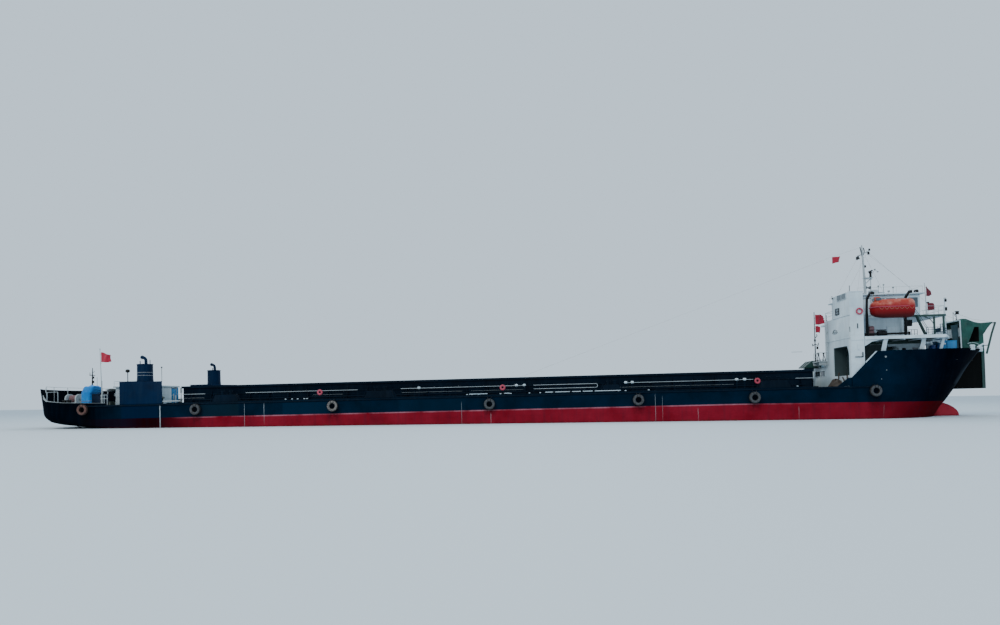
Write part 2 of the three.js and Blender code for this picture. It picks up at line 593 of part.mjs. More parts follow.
// Cage over the stem with the tarpaulin hood inside it and the skirt round the stem below
const cageY = 1.95;
const cageParts = [];
for (const side of [-1, 1]) {
  const y = side * cageY;
  cageParts.push(rod([49.1, y, foredeckZ + gap], [49, y, 11.95], 0.07, 8));
  cageParts.push(rod([49.05, y, 9.2], [51.85, y, 9.2], 0.05, 8));
  cageParts.push(rod([51.63, y, 8.28], [52.22, y, 10.47], 0.09, 8));
  cageParts.push(rod([52.22, y, 10.4], [52.63, y, 11.64], 0.09, 8));
}
for (const [x, z] of [[48.92, 11.92], [52.61, 11.58]]) {
  cageParts.push(rod([x, -cageY, z], [x, cageY, z], 0.05, 8));
}
place('discharge_frame', join(cageParts), 'white');
const hoodTop = [[52.5, 11.68], [51.16, 11.6], [50.55, 11.73], [49.74, 12.1], [49.29, 12.12], [49.05, 12.02], [48.8, 11.5], [48.11, 11.4]];
const hoodFoot = [[48.4, 8.95], [51.34, 8.95], [51.4, 8.35], [51.6, 8.35], [51.52, 8.95], [51.46, 10.36], [52, 11.06]];
let tarpaulin = solid(sidePlate([...hoodFoot, ...hoodTop], -cageY + 0.16, cageY - 0.16));
tarpaulin = tarpaulin.subtract(solid(sidePlate([
  [47, 8], [53, 8], [53, 11.6], [52.3, 11.58], [51.16, 11.52], [50.5, 11.65], [49.7, 12.02], [49.33, 12.04],
  [49.11, 11.95], [48.86, 11.42], [47, 11.32],
], -cageY + 0.24, cageY - 0.24)));
tarpaulin = tarpaulin.subtract(solid(sidePlate([[49.95, 9.6], [51.02, 9.6], [51.02, 11.18], [50.57, 11.18]], -3, 3)));
place('tarpaulin_hood', tarpaulin, 'green');

// Chute that turns the load down from the head of the conveyor, inside the hood
place('head_chute', sidePlate([
  [50.36, 11.38], [51.8, 11.38], [51.76, 9.3], [51.6, 9], [50.2, 9], [50.5, 9.5], [51.15, 11], [50.36, 11],
], beltY - 0.95, beltY + 0.95), 'black');

// Pole with the lamps on the foredeck
place('bow_light_mast', rod([47.05, -3, foredeckZ + gap], [46.95, -3, 14.3], 0.08, 8, 0.04), 'white');
const grownHull = hullLevels.map((level) => ({ ...level, z: level.z + (level.z === deckZ ? 0.004 : 0) }));
let skirt = solid(planPlate([
  [48.6, -1.68], [51.35, -1.68], [52.13, -0.7], [52.13, 0.7], [51.35, 1.68], [48.6, 1.68],
  [48.6, 1.6], [51.3, 1.6], [52.05, 0.66], [52.05, -0.66], [51.3, -1.6], [48.6, -1.6],
], 4.6, 8.9));
skirt = skirt.subtract(solid(lofted(bowLevels, -0.015))).subtract(solid(lofted(grownHull, -0.015)));
place('discharge_skirt', skirt, 'black');

// Windlass, blue tank and barrels on the foredeck
place('windlass', join([
  block(46, 47.6, -1.7, 1.7, foredeckZ + gap, 7.72),
  rod([46.8, -2.1, 8.3], [46.8, 2.1, 8.3], 0.34, 12),
  block(46.4, 47.2, -0.9, -0.7, 7.7, 8.7), block(46.4, 47.2, 0.7, 0.9, 7.7, 8.7),
]), 'steel');
place('blue_tank', block(45.05, 46.65, -5.6, -4, foredeckZ + gap, 9.55), 'blue');
place('barrels', join([
  block(43.3, 44.6, -7.3, -6.5, foredeckZ + gap, 7.62),
  ...[43.62, 44.25].map((x) => rod([x, -6.9, 7.6], [x, -6.9, 9.05], 0.28, 12)),
]), 'cover');

// Platform behind the tower with its pole, the staff before the wheelhouse and the plain flags
const poleY = -0.85;
place('tower_platform', join([
  block(33.95, houseStartX - gap, -2.8, -0.75, 7.84, 7.92),
  rod([34.26, poleY, 7.88], [34.26, poleY, 13.45], 0.06, 8, 0.035),
  ...[-2.76, -1.9].map((y) => rod([33.99, y, 7.88], [33.99, y, 8.85], 0.035, 6)),
  rod([33.99, -2.76, 8.83], [33.99, -1.2, 8.83], 0.035, 6),
]), 'grey');
place('bridge_flagstaff', rod([43.95, -5.4, bridgeDeckZ + gap], [43.8, -5.4, 15.6], 0.05, 8, 0.03), 'grey');
const flags = [
  { name: 'stern_flag', x: -43.16, y: -8.3, z: 9.5, length: 1.15, height: 1.35, pole: 0.09 },
  { name: 'tower_flag_upper', x: 34.26, y: poleY, z: 12.0, length: 0.98, height: 1.18, pole: 0.07 },
  { name: 'tower_flag_lower', x: 34.26, y: poleY, z: 11.1, length: 0.5, height: 0.85, pole: 0.07 },
  { name: 'bridge_flag_upper', x: 43.88, y: -5.4, z: 14.15, length: 0.55, height: 1.15, pole: 0.06 },
  { name: 'bridge_flag_lower', x: 43.95, y: -5.4, z: 12.66, length: 0.7, height: 0.88, pole: 0.06 },
];
for (const flag of flags) {
  place(flag.name, block(flag.x + flag.pole, flag.x + flag.pole + flag.length,
    flag.y - 0.02, flag.y + 0.02, flag.z, flag.z + flag.height), 'flag');
}
export default barge;
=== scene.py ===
import math

import bmesh
import bpy
import numpy as np
from mathutils import Matrix, Vector


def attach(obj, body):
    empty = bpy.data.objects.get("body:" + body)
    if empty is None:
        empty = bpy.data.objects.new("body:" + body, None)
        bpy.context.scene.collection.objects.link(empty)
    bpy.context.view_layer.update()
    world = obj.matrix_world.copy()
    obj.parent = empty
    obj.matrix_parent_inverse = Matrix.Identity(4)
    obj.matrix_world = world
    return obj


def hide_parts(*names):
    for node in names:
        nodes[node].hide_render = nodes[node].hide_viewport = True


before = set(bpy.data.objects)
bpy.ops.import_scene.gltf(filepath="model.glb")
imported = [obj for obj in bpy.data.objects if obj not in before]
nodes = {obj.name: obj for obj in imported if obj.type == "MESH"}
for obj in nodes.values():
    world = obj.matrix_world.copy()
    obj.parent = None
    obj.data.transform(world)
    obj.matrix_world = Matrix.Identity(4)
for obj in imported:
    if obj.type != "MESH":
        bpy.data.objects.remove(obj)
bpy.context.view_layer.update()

# River barge, scale model at 1 to 10. Sizes below are metres of the full-size vessel:
# x from stern to bow with 0 amidships, y to port, z up from the flat bottom.
modelScale = 0.1
shipCentre = 0.0727  # the CAD origin stands this far forward of amidships
# Heights of the decks, the colour change and the water; trim is how much the water rises for each metre aft
ship = {"deck": 5.12, "passage": 6.2, "foredeck": 7.5, "redLine": 3.635, "waterline": 2.2, "trim": 0.0099}
# Heights that things stand on, a little above the plating of each deck and of the wheelhouse roof
deckTop, foredeckTop, boatDeckTop, bridgeDeckTop, roofTop = 5.13, 7.505, 9.97, 12.27, 14.64
# Place along the ship and height of the middle of each tyre fender
tyrePlaces = [(-44.5, 4.66), (-32.1, 4.42), (-17.4, 4.42), (-1.1, 4.22), (13.9, 4.28), (25.3, 4.23),
    (36.9, 4.6)]


def toModel(points):
    # Ship metres to model metres: shift along x, then one tenth of the size
    points = np.asarray(points, float)
    return (points - np.array([shipCentre, 0, 0])) * modelScale


def srgb(code):
    # sRGB hex to linear: below 0.04045 divided by 12.92, above it a power of 2.4
    values = np.array([int(code[i:i + 2], 16) for i in (1, 3, 5)]) / 255
    linear = np.where(values <= 0.04045, values / 12.92, ((values + 0.055) / 1.055) ** 2.4)
    return (*[float(v) for v in linear], 1.0)


# Camera fitted to the photograph: low over the water off the starboard side, rolled a little.
# The frame is shifted, because the photograph's horizon lies below its middle.
camera = {"place": (5.4917, -83.1, 2.294), "yaw": -0.0746, "pitch": 0.02, "roll": 0.0149,
          "focalPixels": 726.7, "widthPixels": 1000, "shift": 0.0741}


def placeCamera():
    # The water frame is turned about y by the trim to reach the ship's own frame
    tau = ship["trim"]
    turn = np.array([[1, 0, tau], [0, 1, 0], [-tau, 0, 1]])
    yaw, pitch, roll = camera["yaw"], camera["pitch"], camera["roll"]
    forward = np.array([math.sin(yaw) * math.cos(pitch), math.cos(yaw) * math.cos(pitch), math.sin(pitch)])
    right = np.array([math.cos(yaw), -math.sin(yaw), 0])
    up = np.cross(right, forward)
    imageRight = turn @ (math.cos(roll) * right - math.sin(roll) * up)
    imageUp = turn @ (math.sin(roll) * right + math.cos(roll) * up)
    place = toModel(turn @ np.array(camera["place"]) + np.array([0, 0, ship["waterline"]]))
    data = bpy.data.cameras.new("photo_camera")
    data.sensor_width = 36
    data.lens = data.sensor_width * camera["focalPixels"] / camera["widthPixels"]
    data.shift_y = camera["shift"]
    data.clip_end = 200
    item = bpy.data.objects.new("photo_camera", data)
    axes = np.array([imageRight, imageUp, -(turn @ forward)]).T
    turned = Matrix([list(row) for row in axes]).to_quaternion().to_matrix().to_4x4()
    item.matrix_world = Matrix.Translation(Vector(place)) @ turned
    bpy.context.scene.collection.objects.link(item)
    bpy.context.scene.camera = item


# Mesh parts: each is (points, quads, polygons), joined into one mesh by makePiece

def joinParts(parts):
    # Face numbers move up by the number of points before them
    points, quads, polygons, start = [], [], [], 0
    for p, q, n in parts:
        points.append(p)
        quads.append(np.asarray(q, int).reshape(-1, 4) + start)
        polygons += [[int(v) + start for v in face] for face in n]
        start += len(p)
    return np.concatenate(points), np.concatenate(quads), polygons


def grid(rows, columns, closed):
    # Quads of a grid of rows by columns; a closed grid joins its last column to its first
    r = np.arange(rows - 1)[:, None]
    c = np.arange(columns if closed else columns - 1)[None, :]
    after = (c + 1) % columns
    a, b = r * columns + c, r * columns + after
    return np.stack([a, b, b + columns, a + columns], -1).reshape(-1, 4)


def surface(points, closed=False, ends=False):
    # A grid of points, rows by columns by 3, as a mesh part; ends close its first and last rows
    points = np.asarray(points, float)
    m, n = points.shape[:2]
    polygons = [list(range(n))[::-1], list(range((m - 1) * n, m * n))] if ends else []
    return points.reshape(-1, 3), grid(m, n, closed), polygons


def sweep(path, section, up=(0, 0, 1), scale=None, loop=False):
    # A closed section (n, 2) is carried along a path (m, 3): point = path + side * a + over * b,
    # where side is across the path and over is square to both
    path = np.asarray(path, float)
    section = np.asarray(section, float)
    ahead = np.roll(path, -1, 0) - np.roll(path, 1, 0)
    if not loop:
        ahead[0], ahead[-1] = path[1] - path[0], path[-1] - path[-2]
    ahead /= np.linalg.norm(ahead, axis=1)[:, None]
    side = np.cross(ahead, np.asarray(up, float))
    side /= np.linalg.norm(side, axis=1)[:, None] + 1e-12
    over = np.cross(side, ahead)
    size = np.ones(len(path)) if scale is None else np.asarray(scale, float)
    points = (path[:, None] + side[:, None] * (section[None, :, :1] * size[:, None, None])
              + over[:, None] * (section[None, :, 1:] * size[:, None, None]))
    m, n = len(path), len(section)
    points = points.reshape(-1, 3)
    if loop:
        quads = grid(m + 1, n, True) % (m * n)
        return points, quads[:, ::-1], []
    ends = [list(range(n)), list(range((m - 1) * n, m * n))[::-1]]
    return points, grid(m, n, True)[:, ::-1], ends


def ring(radius, sides=8):
    # Circle as a section: radius * cos, radius * sin
    angle = np.arange(sides) / sides * 2 * math.pi
    return np.stack([radius * np.cos(angle), radius * np.sin(angle)], -1)


def tube(points, radius, sides=8, up=None, scale=None):
    # Round bar through a few points
    points = np.asarray(points, float)
    lean = points[-1] - points[0]
    if up is None:
        up = (0, 0, 1) if abs(lean[2]) < 0.8 * np.linalg.norm(lean) else (1, 0, 0)
    return sweep(points, ring(radius, sides), up, scale)


def bars(rows, radius, sides=6):
    # A straight round bar for each row of x, y, z, x, y, z
    return [tube([row[:3], row[3:]], radius, sides) for row in rows]


def uprights(xs, ys, low, high):
    # Rows for bars that stand from low to high at each pair of places
    return [(x, y, low, x, y, high) for x in xs for y in ys]


def crossbars(x0, y0, x1, y1, heights):
    # Rows for level bars between two places at each height
    return [(x0, y0, z, x1, y1, z) for z in heights]


def around(count):
    # Even angles of one full turn
    return np.linspace(0, 2 * math.pi, count + 1)[:-1]


def curved(points, count=12):
    # Smooth line through the points: each span is a cubic whose slopes are half the step between neighbours
    p = np.asarray(points, float)
    p = np.concatenate([2 * p[:1] - p[1:2], p, 2 * p[-1:] - p[-2:-1]])
    t = np.linspace(0, 1, count, endpoint=False)[:, None]
    spans = []
    for a, b, c, d in zip(p, p[1:], p[2:], p[3:]):
        bend, twist = 2 * a - 5 * b + 4 * c - d, 3 * b - a - 3 * c + d
        spans.append(0.5 * (2 * b + (c - a) * t + bend * t ** 2 + twist * t ** 3))
    return np.concatenate([*spans, p[-2:-1]])


def slab(low, high, edge=0.02):
    # Box with bevelled edges: the plan shrinks by the edge at the lowest and highest of four levels
    low, high = np.minimum(low, high).astype(float), np.maximum(low, high).astype(float)
    edge = min(edge, 0.45 * float((high - low).min()))
    levels = [(low[2], edge), (low[2] + edge, 0), (high[2] - edge, 0), (high[2], edge)]
    rings = []
    for z, pull in levels:
        c = edge if pull == 0 else edge * 0.5
        x0, x1, y0, y1 = low[0] + pull, high[0] - pull, low[1] + pull, high[1] - pull
        rings.append([[x0 + c, y0, z], [x1 - c, y0, z], [x1, y0 + c, z], [x1, y1 - c, z],
                      [x1 - c, y1, z], [x0 + c, y1, z], [x0, y1 - c, z], [x0, y0 + c, z]])
    points = np.array(rings).reshape(-1, 3)
    return points, grid(4, 8, True), [list(range(8))[::-1], list(range(24, 32))]


def boxes(rows, edge=0.02):
    # A bevelled box for each row of x, x, y, y, z, z
    return [slab(row[::2], row[1::2], edge) for row in rows]


def revolve(profile, centre, axis="z", steps=16, turn=0.0):
    # Profile of (radius, along) turned about an axis through the centre
    profile = np.asarray(profile, float)
    angle = np.arange(steps) / steps * 2 * math.pi + turn
    r, along = profile[:, 0, None], profile[:, 1, None]
    a, b, c = r * np.cos(angle), r * np.sin(angle), along + 0 * angle
    order = {"z": (a, b, c), "x": (c, a, b), "y": (b, c, a)}[axis]
    return surface(np.stack(order, -1) + np.asarray(centre, float), True, True)


def drum(radius, low, high, centre, axis="z", steps=12, edge=0.02):
    # Short cylinder with rounded rims, from low to high along the axis
    profile = [(radius - edge, low), (radius, low + edge), (radius, high - edge), (radius - edge, high)]
    return revolve(profile, centre, axis, steps)


def prism(outline, low, high, axis="y"):
    # Flat outline carried from low to high along an axis; x and z for y, y and z for x, x and y for z
    a, b = np.asarray(outline, float).T
    rows = []
    for at in (low, high):
        c = np.full(len(a), float(at))
        rows.append(np.stack({"y": (a, c, b), "x": (c, a, b), "z": (a, b, c)}[axis], -1))
    return surface(np.array(rows), True, True)


def copies(part, offsets):
    # The same part again at each offset
    points, quads, polygons = part
    return joinParts([(points + np.array(offset), quads, polygons) for offset in offsets])


def alongX(part, places):
    return copies(part, [(x, 0, 0) for x in places])


def spaced(start, end, step):
    # Even places from start to end, about a step apart
    return np.linspace(start, end, max(1, round((end - start) / step)) + 1)


def bothSides(parts):
    # The parts and their mirror images across the ship
    return parts + [(p * np.array([1, -1, 1]), q, n) for p, q, n in parts]


def makePiece(name, parts, tone, body="barge", smooth=35, replaces=(), facing=None, bevel=None):
    # The parts become one mesh in the paint of that name. Closed parts get outward faces, and an open one
    # faces a given point.
    points, quads, polygons = joinParts(parts)
    mesh = bpy.data.meshes.new(name)
    corners = np.array([v for face in polygons for v in face], int)
    loops = np.concatenate([quads.ravel(), corners]).astype(int)
    sides = np.array([len(face) for face in polygons], int)
    sizes = np.concatenate([np.full(len(quads), 4), sides]).astype(int)
    mesh.vertices.add(len(points))
    mesh.vertices.foreach_set("co", toModel(points).ravel())
    mesh.loops.add(len(loops))
    mesh.loops.foreach_set("vertex_index", loops)
    mesh.polygons.add(len(sizes))
    mesh.polygons.foreach_set("loop_start", np.concatenate([[0], np.cumsum(sizes)[:-1]]))
    mesh.polygons.foreach_set("loop_total", sizes)
    mesh.update(calc_edges=True)
    mesh.validate()
    return finishPiece(name, mesh, tone, body, smooth, replaces, facing, bevel)


def finishPiece(name, mesh, tone, body, smooth, replaces, facing, bevel):
    # Doubles merged, faces turned outwards, sharp edges kept or rounded, and the frame told what it is
    work = bmesh.new()
    work.from_mesh(mesh)
    bmesh.ops.remove_doubles(work, verts=work.verts, dist=1e-6)
    if facing is None:
        bmesh.ops.recalc_face_normals(work, faces=work.faces)
    else:
        target = Vector(toModel([facing])[0])
        toward = sum(f.calc_area() * f.normal.dot((target - f.calc_center_median()).normalized())
            for f in work.faces)
        if toward < 0:
            bmesh.ops.reverse_faces(work, faces=work.faces)
    work.to_mesh(mesh)
    work.free()
    item = bpy.data.objects.new(name, mesh)
    bpy.context.scene.collection.objects.link(item)
    mesh.materials.clear()
    mesh.materials.append(paint[tone])
    mesh.polygons.foreach_set("use_smooth", np.full(len(mesh.polygons), bool(smooth)))
    if smooth and not bevel:
        mesh.set_sharp_from_angle(angle=math.radians(smooth))
    if bevel:
        rounded = item.modifiers.new("rounded_edges", "BEVEL")
        rounded.width = bevel * modelScale
        rounded.segments = 2
        rounded.limit_method = "ANGLE"
        rounded.angle_limit = math.radians(35)
        rounded.harden_normals = True
    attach(item, body)
    if replaces:
        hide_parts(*replaces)
    return item


def softened(name, tone, width=0.03, body="barge"):
    # The node's own shape with its triangles merged, flat faces joined and its edges rounded over
    work = bmesh.new()
    work.from_mesh(nodes[name].data)
    bmesh.ops.remove_doubles(work, verts=work.verts, dist=1e-6)
    bmesh.ops.dissolve_limit(work, angle_limit=math.radians(1), verts=work.verts, edges=work.edges)
    mesh = bpy.data.meshes.new(name + "_finished")
    work.to_mesh(mesh)
    work.free()
    return finishPiece(name + "_finished", mesh, tone, body, True, [name], None, width)


# Materials. One function adds a node with its settings and links

def newMaterial(name):
    material = bpy.data.materials.new(name)
    material.use_nodes = True
    tree = material.node_tree
    tree.nodes.clear()
    return material, tree


def add(tree, kind, settings=None, **links):
    # Settings are node attributes or input values; links go to the input of that name, or i and its number
    node = tree.nodes.new("ShaderNode" + kind)
    for key, value in (settings or {}).items():
        if isinstance(key, str) and hasattr(node, key) and key not in node.inputs:
            setattr(node, key, value)
        else:
            node.inputs[key].default_value = value
    for key, source in links.items():
        numbered = key[0] == "i" and key[1:].isdigit()
        target = node.inputs[int(key[1:])] if numbered else node.inputs[key.replace("_", " ")]
        tree.links.new(source, target)
    return node


def sums(tree, operation, a, b=None, c=None, clamp=False):
    # One arithmetic step on sockets or numbers
    node = add(tree, "Math", {"operation": operation, "use_clamp": clamp})
    for i, value in enumerate((a, b, c)):
        if isinstance(value, (int, float)):
            node.inputs[i].default_value = value
        elif value is not None:
            tree.links.new(value, node.inputs[i])
    return node.outputs[0]


def times(tree, a, b):
    return sums(tree, "MULTIPLY", a, b)


def ramp(tree, factor, stops):
    # Colour ramp with (position, colour) stops
    node = add(tree, "ValToRGB", i0=factor)
    elements = node.color_ramp.elements
    while len(elements) < len(stops):
        elements.new(0.5)
    for element, (position, colour) in zip(elements, stops):
        element.position = position
        element.color = colour
    return node.outputs[0]


def between(tree, value, low, high):
    # 0 at low and 1 at high, straight between them
    return add(tree, "MapRange", {"From Min": low, "From Max": high}, Value=value).outputs[0]


def cloud(tree, place, millimetres, detail=5, roughness=0.6):
    # Soft noise whose patches are about that many millimetres across on the full-size ship
    return add(tree, "TexNoise", {"Scale": 1000 / (modelScale * millimetres), "Detail": detail,
        "Roughness": roughness}, Vector=place).outputs[0]


def blend(tree, factor, dark, light):
    # From dark at 0.3 to light at 0.7
    return ramp(tree, factor, [(0.3, srgb(dark)), (0.7, srgb(light))])


def mixed(tree, mask, under, over, strength=1):
    # Over laid on under by the mask times the strength; each is a socket or a hex colour
    factor = mask if strength == 1 else times(tree, mask, strength)
    node = add(tree, "Mix", {"data_type": "RGBA"}, Factor=factor)
    for i, value in ((6, under), (7, over)):
        if isinstance(value, str):
            node.inputs[i].default_value = srgb(value)
        else:
            tree.links.new(value, node.inputs[i])
    return node.outputs[2]


def shaded(material, tree, settings, **links):
    # The principled shader with its settings and links, joined to the output
    shader = add(tree, "BsdfPrincipled", settings, **links)
    tree.links.new(shader.outputs[0], add(tree, "OutputMaterial").inputs[0])
    return material


black, white = (0, 0, 0, 1), (1, 1, 1, 1)


def weathered(material, tree, place, colour, runColour="#4a4640", runs=0.3, rust=0.2, rough=0.42, patch=2500,
              spot=700, grain=90, bump=0.3, metal=0.0, specular=0.4, ior=1.5, seams=None):
    # Dirt runs down the face, rust starts at worn spots, and roughness and height follow the same patterns.
    # patch, spot and grain are real millimetres; seams is the width and height of the welded plates.
    patches = cloud(tree, place, patch)
    runPlace = add(tree, "Mapping", {"Scale": (1, 1, 0.08)}, Vector=place).outputs[0]
    runMask = ramp(tree, cloud(tree, runPlace, 350, 5, 0.65), [(0.47, black), (0.68, white)])
    spots = cloud(tree, place, spot, 8, 0.75)
    colour = mixed(tree, runMask, colour, runColour, runs)
    rustStart = 0.74 - 0.25 * rust
    rustMask = ramp(tree, spots, [(rustStart, black), (rustStart + 0.05, white)])
    colour = mixed(tree, rustMask, colour, "#5a3420")
    height = sums(tree, "MULTIPLY_ADD", cloud(tree, place, grain, 3), 0.35, spots)
    if seams:
        apart = add(tree, "SeparateXYZ", i0=place)
        level = sums(tree, "ADD", apart.outputs[0], apart.outputs[1])
        flat = add(tree, "CombineXYZ", i0=level, i1=apart.outputs[2])
        wide, high = (side * modelScale / 1000 for side in seams)
        joint = add(tree, "TexBrick", {"Scale": 1, "Mortar Size": 0.0012, "Mortar Smooth": 0.6,
            "Brick Width": wide, "Row Height": high}, Vector=flat.outputs[0]).outputs[1]
        height = sums(tree, "MULTIPLY_ADD", joint, 0.9, height)
        colour = mixed(tree, joint, colour, runColour, 0.25)
    settings = {"From Min": 0.3, "From Max": 0.7, "To Min": rough - 0.08, "To Max": rough + 0.12}
    roughness = add(tree, "MapRange", settings, Value=patches).outputs[0]
    normal = add(tree, "Bump", {"Strength": bump, "Distance": 0.002}, Height=height).outputs[0]
    return shaded(material, tree, {"Metallic": metal, "Specular IOR Level": specular, "IOR": ior},
                  Base_Color=colour, Roughness=roughness, Normal=normal)


def finish(name, dark, light, **wear):
    # The colour wanders from dark to light in soft patches, then weathers
    material, tree = newMaterial(name)
    place = add(tree, "TexCoord").outputs["Object"]
    colour = blend(tree, cloud(tree, place, wear.get("patch", 2500)), dark, light)
    return weathered(material, tree, place, colour, **wear)


paint = {
    # Alkyd rolled on plate: soft gloss, faint dirt runs below every edge, small rust pits
    "white": finish("white_alkyd_paint_on_steel_plate", "#a9bcc6", "#cbdae1", runColour="#857c70", runs=0.2,
        rust=0.08, rough=0.45, seams=(2900, 1450)),
    "navy": finish("navy_alkyd_paint_on_steel_plate", "#00142b", "#02203f", runColour="#15283a", rust=0.06,
        rough=0.6, specular=0.3, ior=1.2, seams=(5800, 1500)),
    "coaming": finish("black_navy_alkyd_paint_on_coaming_plate", "#000a16", "#021424", runColour="#15222e",
        rust=0.06, rough=0.6, specular=0.3, ior=1.2, seams=(5800, 1500)),
    # The same paint brushed on pipe, chipped to rust where hands and ropes pass
    "rail": finish("pale_grey_paint_on_steel_tube", "#8d999e", "#b4bfc3", runColour="#75695b", rust=0.3,
        rough=0.45, spot=250),
    "grey": finish("worn_grey_paint_on_deck_gear", "#6d777b", "#8f989a", runColour="#57493c", runs=0.4,
        rust=0.5, rough=0.5, spot=300),
    "black": finish("black_bitumen_paint_on_steel", "#0c0f12", "#181c20", runColour="#38332d", rust=0.4,
        rough=0.5, specular=0.15, spot=250),
    # Non-slip deck coating, matt and gritty, walked bare to rust
    "deck": finish("grey_green_non_slip_deck_paint", "#34423f", "#4d5b56", runColour="#5b4634", runs=0.25,
        rust=0.55, rough=0.75, grain=25, bump=0.5, seams=(6000, 2000)),
    # Bare plate polished by sliding sand, with a dusty tan bloom
    "hopper": finish("sand_worn_bare_steel_plate", "#5b4a3a", "#8c7a62", runColour="#3c2e24", runs=0.5,
        rust=0.7, rough=0.65, seams=(4000, 2500), bump=0.5),
    # Painted shade: dark grey-green for the shaded insides of the tower opening, the passage and the doorway
    "shade": finish("grey_green_painted_shade_in_passage", "#26383a", "#37484a", runColour="#182224",
        runs=0.4, rough=0.6),
    "green": finish("dark_green_paint_on_sheet_steel", "#0c2f2c", "#16423d", runColour="#3a3a32",
        rough=0.5),
    "blue": finish("bright_blue_paint_on_sheet_steel", "#07659e", "#117fb6", runColour="#33566b", rust=0.12,
        rough=0.45),
    "darkBlue": finish("dark_blue_paint_on_sheet_steel", "#021226", "#041c36", runs=0.15, rust=0.05,
        rough=0.5, ior=1.25),
    # Cast and rolled metals
    "iron": finish("rusty_grey_cast_iron", "#4a4643", "#6a655f", runColour="#5a3a26", runs=0.6, rust=0.7,
        rough=0.6, spot=200, grain=30, bump=0.5),
    "zinc": finish("hot_dip_galvanised_steel", "#8f9699", "#a9afb1", runs=0.2, rust=0.1, rough=0.42,
        metal=1.0, patch=120, grain=40),
    "bronze": finish("cast_manganese_bronze", "#a8803c", "#c39b52", runColour="#5d6a4c", runs=0.4, rust=0.0,
        rough=0.35, metal=1.0, patch=500),
    # Moulded goods
    "rubber": finish("black_rubber_sheet", "#030404", "#080909", runColour="#141312", runs=0.4, rust=0.0,
        rough=0.75, specular=0.2, ior=1.3),
    "belt": finish("dusty_conveyor_belt_rubber", "#171512", "#3a3228", runColour="#6b5b46", runs=0.6,
        rust=0.0, rough=0.8),
    "plastic": finish("blow_moulded_polyethylene", "#0a2c63", "#12407f", runs=0.15, rust=0.0, rough=0.4),
    "ringFoam": finish("faded_red_lifebuoy_shell", "#96283c", "#b04a5e", runs=0.1, rust=0.0, rough=0.5),
    "rope": finish("three_strand_polypropylene_rope", "#8b8069", "#b3a88c", rust=0.0, rough=0.85, grain=20,
        bump=0.6),
    "timber": finish("weathered_dunnage_timber", "#231f1d", "#45392f", runs=0.5, rough=0.8, grain=40,
        bump=0.6),
    "brown": finish("rust_pink_primer_on_steel", "#6b4a4c", "#977076", rust=0.3, rough=0.6),
}


def windowGlass():
    # Float glass over a dark room, coloured mid grey-blue in soft patches as a painted reflection of the sky,
    # with a sharp reflection and a little salt haze in the roughness
    material, tree = newMaterial("float_glass_with_painted_sky_reflection")
    place = add(tree, "TexCoord").outputs["Object"]
    haze = add(tree, "MapRange", {"To Min": 0.04, "To Max": 0.22}, Value=cloud(tree, place, 400)).outputs[0]
    colour = blend(tree, cloud(tree, place, 900), "#2a3a43", "#4a5c66")
    return shaded(material, tree, {"IOR": 1.52}, Base_Color=colour, Roughness=haze)


hullFinish = {
    # Painted light: the bow and stern tones and the two end reds are painted shade, the bulb's red and the
    # stem's grey are painted highlights, the pale pink edge is a painted highlight along the top of the red,
    # and the near black tone under the tyres is painted shadow
    "navy": "#00121f", "navyLight": "#021d31", "bow": "#00020a", "stern": "#000206",
    "red": "#6c0f1d", "redLight": "#821c2b", "sternShadeRed": "#1c0308", "bowShadeRed": "#470309", "bulbHighlightRed": "#a3303c",
    "redEdgeHighlight": "#9a5f6c", "stem": "#4c565f", "tyreShadow": "#0a0808", "bottom": "#43161a", "weed": "#38351f",
    "streak": "#aab4ba",
    # pale streaks: x, half width, highest z, lowest z, strength
    "streaks": [(-36.1, 0.05, 5.1, 1.6, 0.8), (-26.9, 0.018, 5.0, 1.4, 0.5), (-24.8, 0.026, 5.0, 2.6, 0.6),
                (-4.0, 0.02, 4.6, 1.6, 0.35), (-1, 0.02, 3.4, 1.3, 0.45), (15.6, 0.02, 4.9, 1.3, 0.4),
                (16.3, 0.018, 4.7, 1.7, 0.3), (19.8, 0.022, 3.4, 1.5, 0.4), (29.6, 0.045, 3.3, 1.7, 0.2),
                (37.8, 0.03, 3.3, 1.8, 0.2)],
    # plates of another tone: first x, last x, colour, strength
    "plates": [(-40.4, -36.3, "#001a33", 0.8), (-32.5, -27.5, "#16242d", 0.55),
               (-22.8, -17.6, "#04243a", 0.6), (-10.5, -3.6, "#071f30", 0.5)],
}


